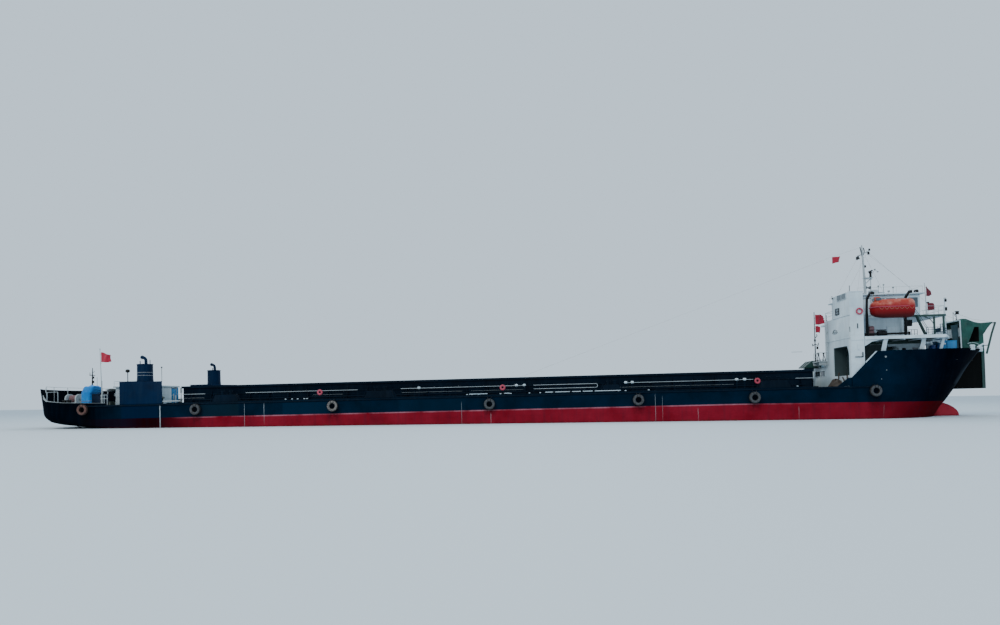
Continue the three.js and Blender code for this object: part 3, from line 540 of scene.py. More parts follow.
def hullPaint():
    # Alkyd topsides over red antifouling, rolled on welded plate. The eye gets a straight colour change at
    # the load line, drips, painted shadow under the tyres, and weed and brown slime by the water. Painted
    # shade darkens the ends, and painted highlights lie on the bulb, on the stem and along the top of the
    # red.
    spec = hullFinish
    material, tree = newMaterial("navy_topsides_over_red_antifouling")
    place = add(tree, "TexCoord").outputs["Object"]
    apart = add(tree, "SeparateXYZ", i0=place)
    x = sums(tree, "MULTIPLY_ADD", apart.outputs[0], 1 / modelScale, shipCentre)
    z = times(tree, apart.outputs[2], 1 / modelScale)
    soft = cloud(tree, place, 2200)
    fine = cloud(tree, place, 260)

    def along(first, last):
        # 0 at the first place along the ship and 1 at the last
        return between(tree, x, first, last)

    topsides = blend(tree, soft, spec["navy"], spec["navyLight"])
    # Painted shade: the topsides darken to near black towards the bow and the stern, where the side turns
    # away
    topsides = mixed(tree, along(38, 44.5), topsides, spec["bow"], 0.97)
    topsides = mixed(tree, along(-40.3, -43.5), topsides, spec["stern"], 0.85)
    for first, last, tone, strength in spec["plates"]:
        plate = times(tree, along(first - 0.1, first + 0.1), along(last + 0.1, last - 0.1))
        topsides = mixed(tree, plate, topsides, tone, strength)
    red = blend(tree, soft, spec["red"], spec["redLight"])
    # Painted shade: the red darkens towards the stern and the bow
    red = mixed(tree, along(-30, -36.5), red, spec["sternShadeRed"])
    red = mixed(tree, along(36.5, 44), red, spec["bowShadeRed"])
    # Painted highlight: the red is lighter on the bulb, which faces up
    red = mixed(tree, along(46, 47), red, spec["bulbHighlightRed"])
    # The colour change wavers by a few centimetres and falls a little towards the bow
    falls = times(tree, sums(tree, "MAXIMUM", sums(tree, "SUBTRACT", x, 24), 0), -0.011)
    redLine = sums(tree, "ADD", sums(tree, "MULTIPLY_ADD", fine, 0.03, ship["redLine"] - 0.015), falls)
    depth = sums(tree, "SUBTRACT", redLine, z)
    below = times(tree, between(tree, depth, -0.01, 0.015), along(-45.5, -38))
    colour = mixed(tree, below, topsides, red)
    # Painted highlight: a thin pale line along the top of the red, broken into soft patches
    edge = times(tree, sums(tree, "COMPARE", depth, 0.05, 0.06), times(tree, along(-35, -30), along(33, 25)))
    colour = mixed(tree, times(tree, edge, between(tree, soft, 0.35, 0.6)), colour, spec["redEdgeHighlight"])
    # Painted highlight: the stem's plate is lightened where the skin turns forward
    normal = add(tree, "SeparateXYZ", i0=add(tree, "NewGeometry").outputs["Normal"]).outputs[0]
    turn = times(tree, between(tree, normal, 0.68, 0.73), between(tree, normal, 0.8, 0.76))
    stem = times(tree, turn, times(tree, between(tree, z, 4.6, 5.4), along(45, 46)))
    colour = mixed(tree, stem, colour, spec["stem"], 0.35)
    # Painted shadow: dark mottled patches on the plating below each tyre
    tyreShadowMask = None
    for at, height in tyrePlaces:
        near = sums(tree, "SMOOTH_MIN", 1.0, sums(tree, "ABSOLUTE", sums(tree, "SUBTRACT", x, at)), 0.3)
        mark = between(tree, near, 0.75, 0.3)
        tyreShadowMask = mark if tyreShadowMask is None else sums(tree, "ADD", tyreShadowMask, mark, clamp=True)
    tyreShadowMask = times(tree, tyreShadowMask, times(tree, between(tree, z, 2.6, 3.6), between(tree, z, 5.0, 4.3)))
    colour = mixed(tree, times(tree, tyreShadowMask, between(tree, fine, 0.25, 0.6)), colour, spec["tyreShadow"], 0.6)
    water = sums(tree, "SUBTRACT", sums(tree, "MULTIPLY_ADD", x, -ship["trim"], ship["waterline"]), z)
    wet = between(tree, sums(tree, "MULTIPLY_ADD", fine, 0.5, water), 0.05, 0.45)
    colour = mixed(tree, wet, colour, spec["bottom"], 0.8)
    slime = times(tree, wet, between(tree, cloud(tree, place, 900), 0.5, 0.62))
    colour = mixed(tree, slime, colour, spec["weed"], 0.7)
    for at, half, top, foot, strength in spec["streaks"]:
        line = sums(tree, "COMPARE", sums(tree, "MULTIPLY_ADD", fine, 0.1, x), at + 0.05, half)
        line = times(tree, line, between(tree, z, top, top - 0.3))
        line = times(tree, line, between(tree, z, foot, foot + 1.6))
        colour = mixed(tree, line, colour, spec["streak"], strength)
    return weathered(material, tree, place, colour, "#0d1c28", runs=0.2, rust=0.02, rough=0.6, specular=0.15,
                     ior=1.06, seams=(5800, 1480))


def tyreRubber():
    # Worn moulded rubber, greyed by silt on the faces and black in the hole; the aft one is rust brown
    material, tree = newMaterial("weathered_tyre_rubber")
    place = add(tree, "TexCoord").outputs["Object"]
    apart = add(tree, "SeparateXYZ", i0=place)
    x = apart.outputs[0]
    aft = between(tree, x, -4.2, -4.3)
    across = sums(tree, "ABSOLUTE", apart.outputs[1])
    side = between(tree, across, 0.9555, 0.961)
    face = times(tree, side, between(tree, cloud(tree, place, 160), 0.3, 0.55))
    silt = mixed(tree, aft, "#46494d", "#64433c")
    pale = times(tree, between(tree, x, -1.9, -1.85), between(tree, x, -1.6, -1.65))
    silt = mixed(tree, pale, silt, "#75706c")
    rubber = mixed(tree, aft, "#141414", "#2e1b16")
    colour = mixed(tree, face, rubber, silt, 0.9)
    return weathered(material, tree, place, colour, runs=0.1, rust=0.0, rough=0.75, spot=120, grain=30,
        bump=0.6)


def clothFinish(name, dark, light, thread, dust, sheen=0.1, rough=0.6):
    # Woven cloth: bands of warp and weft across the piece's own UV, which counts in metres of the sheet.
    # Threads are drawn coarser than real ones, so that they show at this scale. dust is dirt in the folds.
    material, tree = newMaterial(name)
    coordinates = add(tree, "TexCoord")
    place = coordinates.outputs["Object"]
    bands = 2 * math.pi / (20 * thread / 1000)
    warp, weft = [add(tree, "TexWave", {"bands_direction": way, "Scale": bands},
                      Vector=coordinates.outputs["UV"]).outputs[1] for way in "XY"]
    weave = sums(tree, "MAXIMUM", warp, weft)
    colour = blend(tree, cloud(tree, place, 900), dark, light)
    colour = mixed(tree, between(tree, cloud(tree, place, 500, 8), 0.5, 0.75), colour, "#5f6058", dust)
    colour = mixed(tree, weave, colour, light, 0.12)
    bump = add(tree, "Bump", {"Strength": 0.3, "Distance": 0.0006}, Height=weave).outputs[0]
    roughness = add(tree, "MapRange", {"To Min": rough, "To Max": rough + 0.2}, Value=weave).outputs[0]
    return shaded(material, tree, {"Sheen Weight": sheen, "Specular IOR Level": 0.3},
                  Base_Color=colour, Roughness=roughness, Normal=bump)


def boatShell():
    # Gelcoat on glass fibre: orange above the rubbing band, deep red below it, with pale patches on top.
    # Painted shade darkens the red towards the keel and painted light brightens the orange towards the top.
    material, tree = newMaterial("orange_and_red_gelcoat_on_glass_fibre")
    place = add(tree, "TexCoord").outputs["Object"]
    z = times(tree, add(tree, "SeparateXYZ", i0=place).outputs[2], 1 / modelScale)
    # Painted light on the orange towards the top, painted shade on the red towards the keel
    upper = mixed(tree, between(tree, z, 13.0, 13.7), "#861014", "#a84030")
    lower = mixed(tree, between(tree, z, 12.1, 12.9), "#4c0206", "#8a0a10")
    colour = mixed(tree, between(tree, z, 12.93, 12.97), lower, upper)
    paleTopPatches = times(tree, between(tree, cloud(tree, place, 700), 0.45, 0.7), between(tree, z, 13.0, 13.3))
    colour = mixed(tree, paleTopPatches, colour, "#cf9682", 0.6)
    return weathered(material, tree, place, colour, "#6b2018", runs=0.15, rust=0.0, rough=0.38, ior=1.3,
        bump=0.12)


paint["glass"] = windowGlass()
paint["hull"] = hullPaint()
paint["tyre"] = tyreRubber()
paint["boat"] = boatShell()
cloth = {
    "green": clothFinish("green_coated_polyester_tarpaulin", "#0d3430", "#1b5349", 0.9, 0.25),
    "blue": clothFinish("blue_coated_polyester_tarpaulin", "#0b5aa6", "#2288cf", 0.9, 0.12),
    "slate": clothFinish("slate_blue_coated_polyester_tarpaulin", "#0f2730", "#1b404a", 0.9, 0.12),
    # A darker red cloth for the two flags on the bridge staff
    "darkerFlag": clothFinish("dark_red_woven_polyester", "#4a0a18", "#681226", 0.6, 0.1),
    "flag": clothFinish("plain_red_woven_polyester", "#8c1128", "#a81c38", 0.6, 0.05, sheen=0.3, rough=0.7),
}
print("materials made")


# Hull skin. Levels: height, stern end, stern shoulder, half beam, bow shoulder, stem
hullLevels = np.array([(0, -36, -34, 8.6, 32, 44.4), (0.55, -38.2, -35.5, 9.1, 33, 45.4),
    (2, -42, -38.5, 9.15, 34.5, 46.6), (2.6, -44.8, -40.6, 9.15, 35.2, 47),
    (2.9, -48, -42.2, 9.15, 35.5, 47.2), (3.1, -50.1, -43.4, 9.15, 35.7, 47.4),
    (3.45, -51.5, -44.8, 9.15, 36, 47.7), (4.2, -52.1, -46, 9.15, 36.9, 48.25),
    (5.12, -52.2, -46.2, 9.15, 37.8, 48.89)])
bowLevels = np.array([(5.12, 30, 34.84, 9.15, 37.8, 48.89), (7, 30, 34.84, 9.15, 38.8, 50.09),
    (8.8, 30, 34.84, 9.15, 39.6, 51.55)])
sternLevels = np.array([(5.12, -52.2, -46.2, 9.15, -42.2, 0), (7.05, -52.6, -46.2, 9.15, -42.2, 0)])


def levelsAt(table, heights):
    # Each column of the table at other heights, by cubic pieces whose slope at a level is the harmonic mean
    # of the slopes beside it, so that nothing overshoots
    heights = np.asarray(heights, float)
    flat = heights.ravel()
    z = table[:, 0]
    step = np.diff(z)[:, None]
    slope = np.diff(table, axis=0) / step
    a, b = slope[:-1], slope[1:]
    middle = np.where(a * b > 0, 2 * a * b / np.where(a + b == 0, 1, a + b), 0)
    m = np.concatenate([slope[:1], middle, slope[-1:]])
    i = np.clip(np.searchsorted(z, flat, side="right") - 1, 0, len(z) - 2)
    h = step[i]
    t = (flat - z[i])[:, None] / h
    values = ((2 * t ** 3 - 3 * t ** 2 + 1) * table[i] + (t ** 3 - 2 * t ** 2 + t) * h * m[i]
              + (3 * t ** 2 - 2 * t ** 3) * table[i + 1] + (t ** 3 - t ** 2) * h * m[i + 1])
    return values.reshape(*heights.shape, table.shape[1])


def hullPoints(heights, along, inset=0, table=hullLevels):
    # Starboard points of the outline at each height. along is 0 amidships at the stern, 1 where the stern
    # curve ends, 2 where the bow curve starts and 3 at the stem. At the ends x runs from the shoulder to the
    # tip by u, and y is half * (1 - u ** 3) ** (1 / 2) aft and half * (1 - u ** 2.2) ** (1 / 1.5) forward.
    heights, along = np.broadcast_arrays(np.asarray(heights, float), np.asarray(along, float))
    z, stern, sternTaper, half, bowTaper, stem = np.moveaxis(levelsAt(table, heights), -1, 0)
    u = 1 - np.clip(along, 0, 1) ** 2
    v = 1 - np.clip(3 - along, 0, 1) ** 1.5
    middle = np.clip(along - 1, 0, 1)
    x = sternTaper + middle * (bowTaper - sternTaper)
    x = np.where(along < 1, sternTaper - u * (sternTaper - stern - inset), x)
    x = np.where(along > 2, bowTaper + v * (stem - inset - bowTaper), x)
    y = np.where(along > 2, np.clip(1 - v ** 2.2, 0, 1) ** (1 / 1.5), 1)
    y = np.where(along < 1, np.sqrt(np.clip(1 - u ** 3, 0, 1)), y)
    return np.stack([x, -(half - inset) * y, heights], -1)


def halfBreadth(x, z, table=hullLevels, inset=0):
    # Half breadth of the hull at places along the ship at one height
    points = hullPoints(z, np.linspace(0, 3, 400), inset, table)
    return np.interp(x, points[:, 0], -points[:, 1])


alongHull = np.concatenate([np.linspace(0, 1, 24), np.linspace(1, 2, 30)[1:], np.linspace(2, 3, 30)[1:]])
skinHeights = np.concatenate([np.linspace(0, 0.55, 6), np.linspace(0.55, 2, 7)[1:],
    np.linspace(2, 3.6, 20)[1:], np.linspace(3.6, 5.12, 10)[1:]])
half = hullPoints(skinHeights[:, None], alongHull[None])
skin = np.concatenate([half, half[:, -2:0:-1] * [1, -1, 1]], 1)
skinPart = surface(skin, True)
skinPart = (skinPart[0], skinPart[1], [list(range(skin.shape[1]))])
bulbAngle = np.linspace(0.03, math.pi - 0.03, 26)
bulb = revolve(np.stack([1.3 * np.sin(bulbAngle), -4.1 * np.cos(bulbAngle)], -1), (0, 0, 0), "x", 28)
hullParts = [skinPart, (bulb[0] * [1, 1, 1.34] + [45.45, 0, 1.76], bulb[1], bulb[2])]
shafts = {"y": 4.2, "z": 1.35, "trunkX": -48.35}
bossing = [(0.75, -37), (0.74, -41), (0.6, -44.5), (0.46, -45.7), (0.4, -45.9)]
shaftParts = [revolve(bossing, (0, -shafts["y"], shafts["z"]), "x", 20)]
web = [(-37, 1), (-45.6, 1.35), (-45.6, 3.3), (-37, 3.3)]
shaftParts += [prism(web, -shafts["y"] - 0.14, -shafts["y"] + 0.14)]
shaftParts += [drum(0.3, 2.8, 4, (shafts["trunkX"], -shafts["y"], 0), "z", 18)]
hullParts += bothSides(shaftParts)
makePiece("hull_plating", hullParts, "hull", smooth=40, replaces=["hull"])


def deckPart(x, z, table=hullLevels, inset=0, inner=None):
    # Flat deck: at each x it runs from edge to edge, or from the edge in to inner
    y = halfBreadth(x, z, table, inset)
    span = np.linspace(-1, 1, 9)[None] * y[:, None]
    if inner is not None:
        share = np.linspace(0, 1, 3)[None]
        span = -y[:, None] + (y[:, None] - inner) * share
    return surface(np.stack([np.broadcast_to(np.asarray(x)[:, None], span.shape), span,
        np.full(span.shape, z)], -1))


hold = {"start": -34.4, "end": 31.45, "half": 6.55, "knuckle": 4.1, "floor": 1.1, "floorHalf": 1.7}
deck, passage, foredeck = ship["deck"], ship["passage"], ship["foredeck"]
sternX = hullPoints(deck, np.linspace(0, 1, 24))[:, 0]
bowX = hullPoints(deck, np.linspace(2, 3, 30))[:, 0]
decks = [deckPart(np.append(sternX, hold["start"]), deck), deckPart(np.append(hold["end"], bowX), deck)]
decks += bothSides([deckPart(spaced(hold["start"], hold["end"], 6), deck, inner=hold["half"])])
foreX = 51.55 - (51.55 - 43.2) * np.linspace(1, 0, 24) ** 2
foreX = foreX[foreX < hullPoints(foredeck, 3, 0.12, bowLevels)[0]]
decks += [deckPart(np.linspace(36.17, 43.2, 12), passage, bowLevels, 0.1),
    deckPart(foreX, foredeck, bowLevels, 0.1)]
makePiece("deck_plating", decks, "deck", smooth=0, facing=(0, 0, 400))
stepHalf = [halfBreadth(np.array([43.2]), z, bowLevels, 0.12)[0] for z in (passage, foredeck)]
stepOutline = [(-stepHalf[0], passage), (stepHalf[0], passage), (stepHalf[1], foredeck),
    (-stepHalf[1], foredeck)]
makePiece("foredeck_step", [prism(stepOutline, 43.16, 43.2, "x")], "white")

sectionHalf = [(-hold["half"], deck), (-hold["half"], hold["knuckle"]), (-hold["floorHalf"], hold["floor"])]
section = np.array([*sectionHalf, *[(-y, z) for y, z in sectionHalf[::-1]]])
holdX = spaced(hold["start"], hold["end"], 3)
liningColumns = (holdX[:, None], section[:, 0], section[:, 1])
lining = np.stack([np.broadcast_to(column, (len(holdX), 6)) for column in liningColumns], -1)
ends = [(np.column_stack([np.full(6, x), section]), np.zeros((0, 4), int), [list(range(6))])
    for x in (hold["start"], hold["end"])]
makePiece("hopper_lining", [surface(lining), *ends], "hopper", smooth=0, facing=(0, 0, 60))
ribs = [prism([(-6.54, 4.12), (-1.72, 1.13), (-1.72, 1.3), (-6.54, 4.3)], x - 0.06, x + 0.06, "x")
    for x in spaced(-31.5, 28.5, 3)]
gates = boxes([(x - 1.15, x + 1.15, -1.62, -1.5, 1.55, 1.72) for x in spaced(-30, 27, 3)])
makePiece("hopper_ribs_and_gates", bothSides(ribs + gates), "hopper", smooth=0)


def wallShell(table, alongs, topOf, wall, foot):
    # A bulwark as one closed strip round the end of the ship: up its outer face, over the top and down inside
    # again. Heights run from foot to the sloping top, found by repeating top = topOf(x at that height).
    faces = []
    for inset, shares in ((0, np.linspace(0, 1, 12)), (wall, np.linspace(1, 0, 6))):
        top = np.full(len(alongs), float(table[-1][0]))
        for _ in range(8):
            top = topOf(hullPoints(top, alongs, inset, table)[:, 0])
        heights = foot + shares[:, None] * (top - foot)[None]
        faces.append(hullPoints(heights, np.asarray(alongs)[None], inset, table))
    loop = np.concatenate(faces)
    full = np.concatenate([loop, loop[:, -2::-1] * [1, -1, 1]], 1)
    return surface(np.swapaxes(full, 0, 1), True, True)


def bowTop(x):
    return np.interp(x, [34.84, 37.3, 51.55], [6, 8.5, 8.74])


def sternTop(x):
    return np.interp(x, [-50.4, -50.15, -49.75, -49.1, -47, -42.2], [7.05, 6.55, 6, 5.65, 5.45, 5.3])


bowAlongs = np.concatenate([np.linspace(1, 2, 16), np.linspace(2, 3, 34)[1:]])
makePiece("bow_shell_plating", [wallShell(bowLevels, bowAlongs, bowTop, 0.12, 5.124)], "hull", smooth=40,
          replaces=["bow_bulwark"])
sternAlongs = np.concatenate([np.linspace(2, 1, 5), np.linspace(1, 0, 30)[1:]])
makePiece("stern_shell_plating", [wallShell(sternLevels, sternAlongs, sternTop, 0.16, 5.124)], "hull",
    smooth=40, replaces=["stern_bulwark"])

# Pale rail cap on the stern bulwark, thicker towards the stern, and the grey bar down the stem, whose pale
# paint is also a painted highlight
capX = hullPoints(6, sternAlongs, 0.08, sternLevels)[:, 0]
capLine = hullPoints(sternTop(capX), sternAlongs, 0.08, sternLevels)
capLine = np.concatenate([capLine, capLine[-2::-1] * [1, -1, 1]])
capSize = np.interp(capLine[:, 0], [-50.3, -49.8, -48.5, -46, -42], [0.15, 0.9, 0.8, 0.4, 0.3])
capSection = np.array([(-0.1, -0.04), (0.1, -0.04), (0.1, 0.03), (0.05, 0.07), (-0.05, 0.07), (-0.1, 0.03)])
makePiece("stern_rail_cap", [sweep(capLine, capSection, (0, 0, 1), capSize)], "grey")
stemZ = np.linspace(5.3, 8.75, 20)
stemLine = np.stack([hullPoints(stemZ, 3, 0.02, bowLevels)[:, 0], 0 * stemZ, stemZ], -1)
lowZ = np.linspace(3.66, 5.2, 10)
stemLow = np.stack([hullPoints(lowZ, 3, 0.02)[:, 0], 0 * lowZ, lowZ], -1)
makePiece("stem_bar_with_painted_highlight", [sweep(np.concatenate([stemLow, stemLine]), ring(0.12), (0, 1, 0))], "grey")
print("hull made")


# Side rails in sections with rounded ends, mooring seats between them, air pipes, fittings and lifebuoys
rails = {
    "y": -9, "top": 6.04, "middle": 5.66, "bend": 0.19,
    # first and last x of each section, and the one whose end is bent round
    "sections": [(-34.2, -31.2), (-26.8, -14.8), (-10.3, 2.6), (3.4, 9.9), (12.9, 25.3), (29.4, 31.2)],
    "bent": (3.4, 9.9),
    # wires below the rails: first x, last x, height
    "wires": [(-34.1, -31.3, 5.62), (-19.6, -16.4, 5.63), (-10.2, -3.9, 5.63), (-3, 2.4, 5.63),
              (10.7, 23.4, 5.6)],
    "seats": [(-30.5, -27.5), (-14.2, -10.9), (10.2, 12.4), (25.75, 29)],
    "pipes": [-8.46, 1.65, 2.46, 12.76, 13.42, 23.79, 24.57],
    "buoys": [-18.8, 0.26, 25.69],
    "chocks": [-22.5, -21.8, -21.2, -20.5, -20.2, -3.4, -2.9, -2.2, 0.05, 1.1, 3, 4.1, 12, 12.7, 15, 29.6],
    # strips along the edge: first x and length
    "strips": [(-3.2, 1.9), (0.4, 0.6), (4.6, 0.8), (5.6, 1.5), (7.3, 0.9), (8.4, 1), (9.6, 2.6)],
}
railBars, posts = [], []
y, top, middle, bend = rails["y"], rails["top"], rails["middle"], rails["bend"]
for section in rails["sections"]:
    start, end = section
    line = [(start, y, top), (end, y, top)]
    # Only one section ends in a round bend; the others stop at a post
    if section == rails["bent"]:
        turn = np.linspace(math.pi / 2, -math.pi / 2, 9)
        bow = [(end - bend + bend * math.cos(a), y, (top + middle) / 2 + bend * math.sin(a)) for a in turn]
        line = [(start, y, top), *bow, (start, y, middle)]
    else:
        posts += bars([(start, y, middle, end, y, middle)], 0.014)
    railBars.append(sweep(line, ring(0.02), (0, 1, 0)))
    lastPost = end - (0.3 if section == rails["bent"] else 0.02)
    posts += bars(uprights(spaced(start + 0.02, lastPost, 1.5), [y], deckTop, top), 0.022)
makePiece("side_rail_bars", bothSides(railBars), "rail", replaces=["side_rail_starboard", "side_rail_port"])
wires = bars([(start, rails["y"], z, end, rails["y"], z) for start, end, z in rails["wires"]], 0.009)
makePiece("side_rail_wires", bothSides(wires), "grey")
makePiece("side_rail_posts", bothSides(posts), "coaming")
edgePlate = boxes([(-35.4, 31.6, -9.06, -8.9, 5.124, 5.2)])
seatParts = []
for start, end in rails["seats"]:
    outline = [(start, deckTop), (end, deckTop), (end - 0.4, 5.9), (start + 0.4, 5.9)]
    seatParts.append(prism(outline, -9.04, -8.32))
    leans = ((start - 0.15, 0.45), (end + 0.15, -0.45))
    seatParts += bars([(x, -9, 5.15, x + lean, -9, 6.02) for x, lean in leans], 0.05)
makePiece("mooring_seats", bothSides(edgePlate + seatParts), "coaming", bevel=0.03)
bollards = []
for start, end in rails["seats"]:
    for share in (0.35, 0.65):
        profile = [(0.16, 0), (0.16, 0.42), (0.2, 0.46), (0.2, 0.52), (0.17, 0.56)]
        bollards.append(revolve(profile, (start + (end - start) * share, -8.65, 5.74)))
makePiece("side_bollards", bothSides(bollards), "coaming")
stems = bars([(x, -8.6, deckTop, x, -8.6, 5.98) for x in rails["pipes"]], 0.07, 8)
makePiece("air_pipe_stems", bothSides(stems), "coaming")
pipes = boxes([(x - 0.15, x + 0.15, -8.76, -8.44, 5.96, 6.2) for x in rails["pipes"]], 0.06)
pipes += boxes([(x - 0.1, x + 0.08, -9.08, -8.92, 5.21, 5.29) for x in rails["chocks"]], 0.03)
pipes += boxes([(start, start + long, -9.09, -9.02, 5.25, 5.32) for start, long in rails["strips"]])
makePiece("air_pipe_heads_and_chocks", bothSides(pipes), "white")


def lifebuoy(centre, axis="y", radius=0.27, tubeRadius=0.08):
    # Ring of round section: radius plus tube radius by the cosine, thickness by the sine
    angle = around(12)
    profile = np.stack([radius + tubeRadius * np.cos(angle), tubeRadius * np.sin(angle)], -1)
    points, quads, _ = revolve(np.concatenate([profile, profile[:1]]), centre, axis, 24)
    return points, quads, []


buoys = [lifebuoy((x, -9.12, 5.88), radius=0.2, tubeRadius=0.1) for x in rails["buoys"]]
buoys = bothSides(buoys) + [lifebuoy((35.74, -9.1, 12.49)), lifebuoy((43.55, -1.6, 13.2), "x")]
makePiece("lifebuoys", buoys, "ringFoam")

# Tyre fenders on short chains from the rubbing strake
fenders = {"y": -9.44, "lugs": 30}
tyreProfile = [(0.29, -0.14), (0.33, -0.17), (0.42, -0.2), (0.5, -0.18), (0.55, -0.13), (0.565, -0.05),
    (0.565, 0.05), (0.55, 0.13), (0.5, 0.18), (0.42, 0.2), (0.33, 0.17), (0.29, 0.14), (0.31, 0.11),
    (0.38, 0.13), (0.46, 0.1), (0.49, 0), (0.46, -0.1), (0.38, -0.13), (0.31, -0.11), (0.29, -0.14)]
tyre = revolve(tyreProfile, (0, fenders["y"], 0), "y", 36)
tyre = (tyre[0], tyre[1], [])
lug = slab((-0.035, fenders["y"] - 0.13, 0.545), (0.035, fenders["y"] + 0.13, 0.568), 0.005)
lugs = []
for angle in np.arange(fenders["lugs"]) / fenders["lugs"] * 2 * math.pi:
    c, s = math.cos(angle), math.sin(angle)
    turned = lug[0] @ np.array([[c, 0, -s], [0, 1, 0], [s, 0, c]])
    lugs.append((turned, lug[1], lug[2]))
fullTyre = joinParts([tyre, *lugs])
makePiece("hanging_tyres", bothSides([copies(fullTyre, [(x, 0, z) for x, z in tyrePlaces])]), "tyre",
          replaces=["tyre_fenders_starboard", "tyre_fenders_port"])
hangers = []
for x, z in tyrePlaces:
    for lean in (-0.18, 0.18):
        hangers.append(tube(curved([(x + lean * 1.6, -9.2, 5), (x + lean, -9.3, z + 0.68),
            (x + lean * 0.9, -9.5, z + 0.6), (x + lean * 0.8, -9.66, z + 0.48),
            (x + lean * 0.7, -9.6, z + 0.3)], 5), 0.022, 6, (1, 0, 0)))
makePiece("tyre_hangers", bothSides(hangers), "black")
strakeSection = np.array([(0, -0.08), (0.06, -0.07), (0.095, -0.03), (0.095, 0.03), (0.06, 0.07), (0, 0.08)])
strake = sweep([(x, -9.152, 5) for x in (37.6, -4, -45.1)], strakeSection * [-1, 1])
makePiece("rubbing_strakes", bothSides([strake]), "coaming")
print("side gear made")


# Coaming with its deck brackets, a stiffener and the fire main along it
softened("hold_coaming", "coaming")
bracket = prism([(-6.86, deckTop), (-7.42, deckTop), (-7.42, 5.2), (-6.86, 6.55)], -0.02, 0.02, "x")
coamingParts = [alongX(bracket, spaced(-33.6, 30.6, 2.14))]
coamingParts += boxes([(-34.7, 31.75, -6.93, -6.84, 6, 6.08)], 0.01)
makePiece("coaming_brackets", bothSides(coamingParts), "coaming", smooth=0)
main = [tube([(-33.8, -7.6, 5.42), (30.9, -7.6, 5.42)], 0.07, 10)]
main += boxes([(x - 0.05, x + 0.05, -7.68, -7.52, deckTop, 5.4) for x in spaced(-32.5, 29.5, 4)], 0.01)
main += [revolve([(0.1, 0), (0.1, 0.04), (0.05, 0.06), (0.05, 0.2), (0.14, 0.22), (0.14, 0.25)],
    (x, -7.6, 5.46), "z", 12) for x in (-25, -8, 9, 24)]
makePiece("fire_main", bothSides(main), "coaming")

# Belt along the bottom of the hopper, on idlers
softened("hold_belt", "belt")
idler = tube([(0, -1.32, 1.32), (0, 1.32, 1.32)], 0.09)
makePiece("belt_idlers", [alongX(idler, spaced(-33, 30, 1.5))], "iron")

# Engine casings with edge bars, a door and louvres each, a ball vent, and the funnels on them
for side in ("starboard", "port"):
    softened("engine_casing_" + side, "navy", 0.04)
casing = boxes([(-40.6, -37.7, -9.14, -9.02, 7.5, 7.56), (-40.6, -37.7, -6, -5.88, 7.5, 7.56)])
casing += boxes([(-40.63, -40.56, -8.9, -8.1, 5.3, 7.1), (-40.66, -40.6, -8.82, -8.74, 6.1, 6.25)])
casing += boxes([(-40.62, -40.56, -7.7, -6.5, z, z + 0.05) for z in spaced(6.2, 7, 0.12)], 0.01)
casing += boxes([(-39.9, -39.6, 5.9, 5.96, 5.3, 6.9)], 0.01)
makePiece("casing_fittings", bothSides(casing), "navy")
casingVents = []
for x, y, low, high, size in ((-41.39, -6.2, deckTop, 8.7, 0.24), (-37.6, -6, 7.5, 9.1, 0.09)):
    casingVents.append(tube([(x, y, low), (x, y, high)], 0.045 if size > 0.1 else 0.025))
    ball = np.linspace(0, math.pi, 12)
    casingVents.append(revolve(np.stack([size * np.sin(ball) + 0.004, -size * 0.8 * np.cos(ball)], -1),
        (x, y, high + size * 0.6)))
makePiece("casing_ball_vent_and_aerial", casingVents, "black")

funnel = (-38.37, -7.95, 7.504)
shell = [(0.84, 0), (0.84, 0.04), (0.8, 0.5), (0.79, 1.82), (0.83, 1.84), (0.83, 1.92), (0.74, 1.92),
    (0.74, 1.6)]
octagon = {"axis": "z", "steps": 8, "turn": math.pi / 8}
funnelParts = [revolve(shell, funnel, **octagon)]
funnelParts.append(tube(curved([(-38.25, -7.95, 9.1), (-38.25, -7.95, 9.6), (-38.27, -7.95, 9.88),
    (-38.38, -7.95, 10.06), (-38.56, -7.95, 10.15)], 5), 0.16, 14, (0, 1, 0)))
funnelParts.append(revolve([(0.02, -0.2), (0.12, -0.17), (0.19, -0.08), (0.2, 0), (0.19, 0.08),
    (0.12, 0.17), (0.02, 0.2)], (-38.66, -7.95, 10.17), "z", 14))
funnelParts += [tube([(-38.7, -8.3, 9.1), (-38.7, -8.3, 9.75)], 0.05),
    tube([(-38, -7.6, 9.1), (-38, -7.6, 9.9)], 0.04)]
makePiece("funnels", bothSides(funnelParts), "navy", smooth=50,
    replaces=["funnel_starboard", "funnel_port"])
stripes = [revolve([(0.792, z), (0.806, z + 0.005), (0.806, z + 0.04), (0.792, z + 0.045)],
                   funnel, **octagon) for z in (0.67, 0.98)]
makePiece("funnel_stripes", stripes, "grey", smooth=0)
print("casings made")


# Aft deckhouse with its door, windows and roof rail
softened("aft_deckhouse", "white")
softened("aft_deckhouse_door", "blue", 0.02, "aft_deckhouse_door_body")
makePiece("aft_door_handle", [tube(curved([(-39.05, -1.18, 6), (-38.99, -1.18, 6.02), (-38.99, -1.18, 6.16),
    (-39.05, -1.18, 6.18)], 4), 0.015, 6, (0, 1, 0))], "zinc", "aft_deckhouse_door_body")
makePiece("aft_deckhouse_panel", boxes([(-39.05, -39, -0.19, 0.14, 5.3, 7.02),
    (-39.05, -39.01, -1.34, -1.29, 5.2, 7)], 0.01), "blue")
frames, panes = [], []
for x in (-43.2, -41.8, -40.4):
    frames += boxes([(x - 0.35, x + 0.35, -4.34, -4.3, 6.1, 6.12),
        (x - 0.35, x + 0.35, -4.34, -4.3, 6.68, 6.7)], 0.01)
    frames += boxes([(x + side * 0.33 - 0.02, x + side * 0.33 + 0.02, -4.34, -4.3, 6.1, 6.7)
        for side in (-1, 1)], 0.01)
    panes += boxes([(x - 0.32, x + 0.32, -4.315, -4.3, 6.12, 6.68)], 0.005)
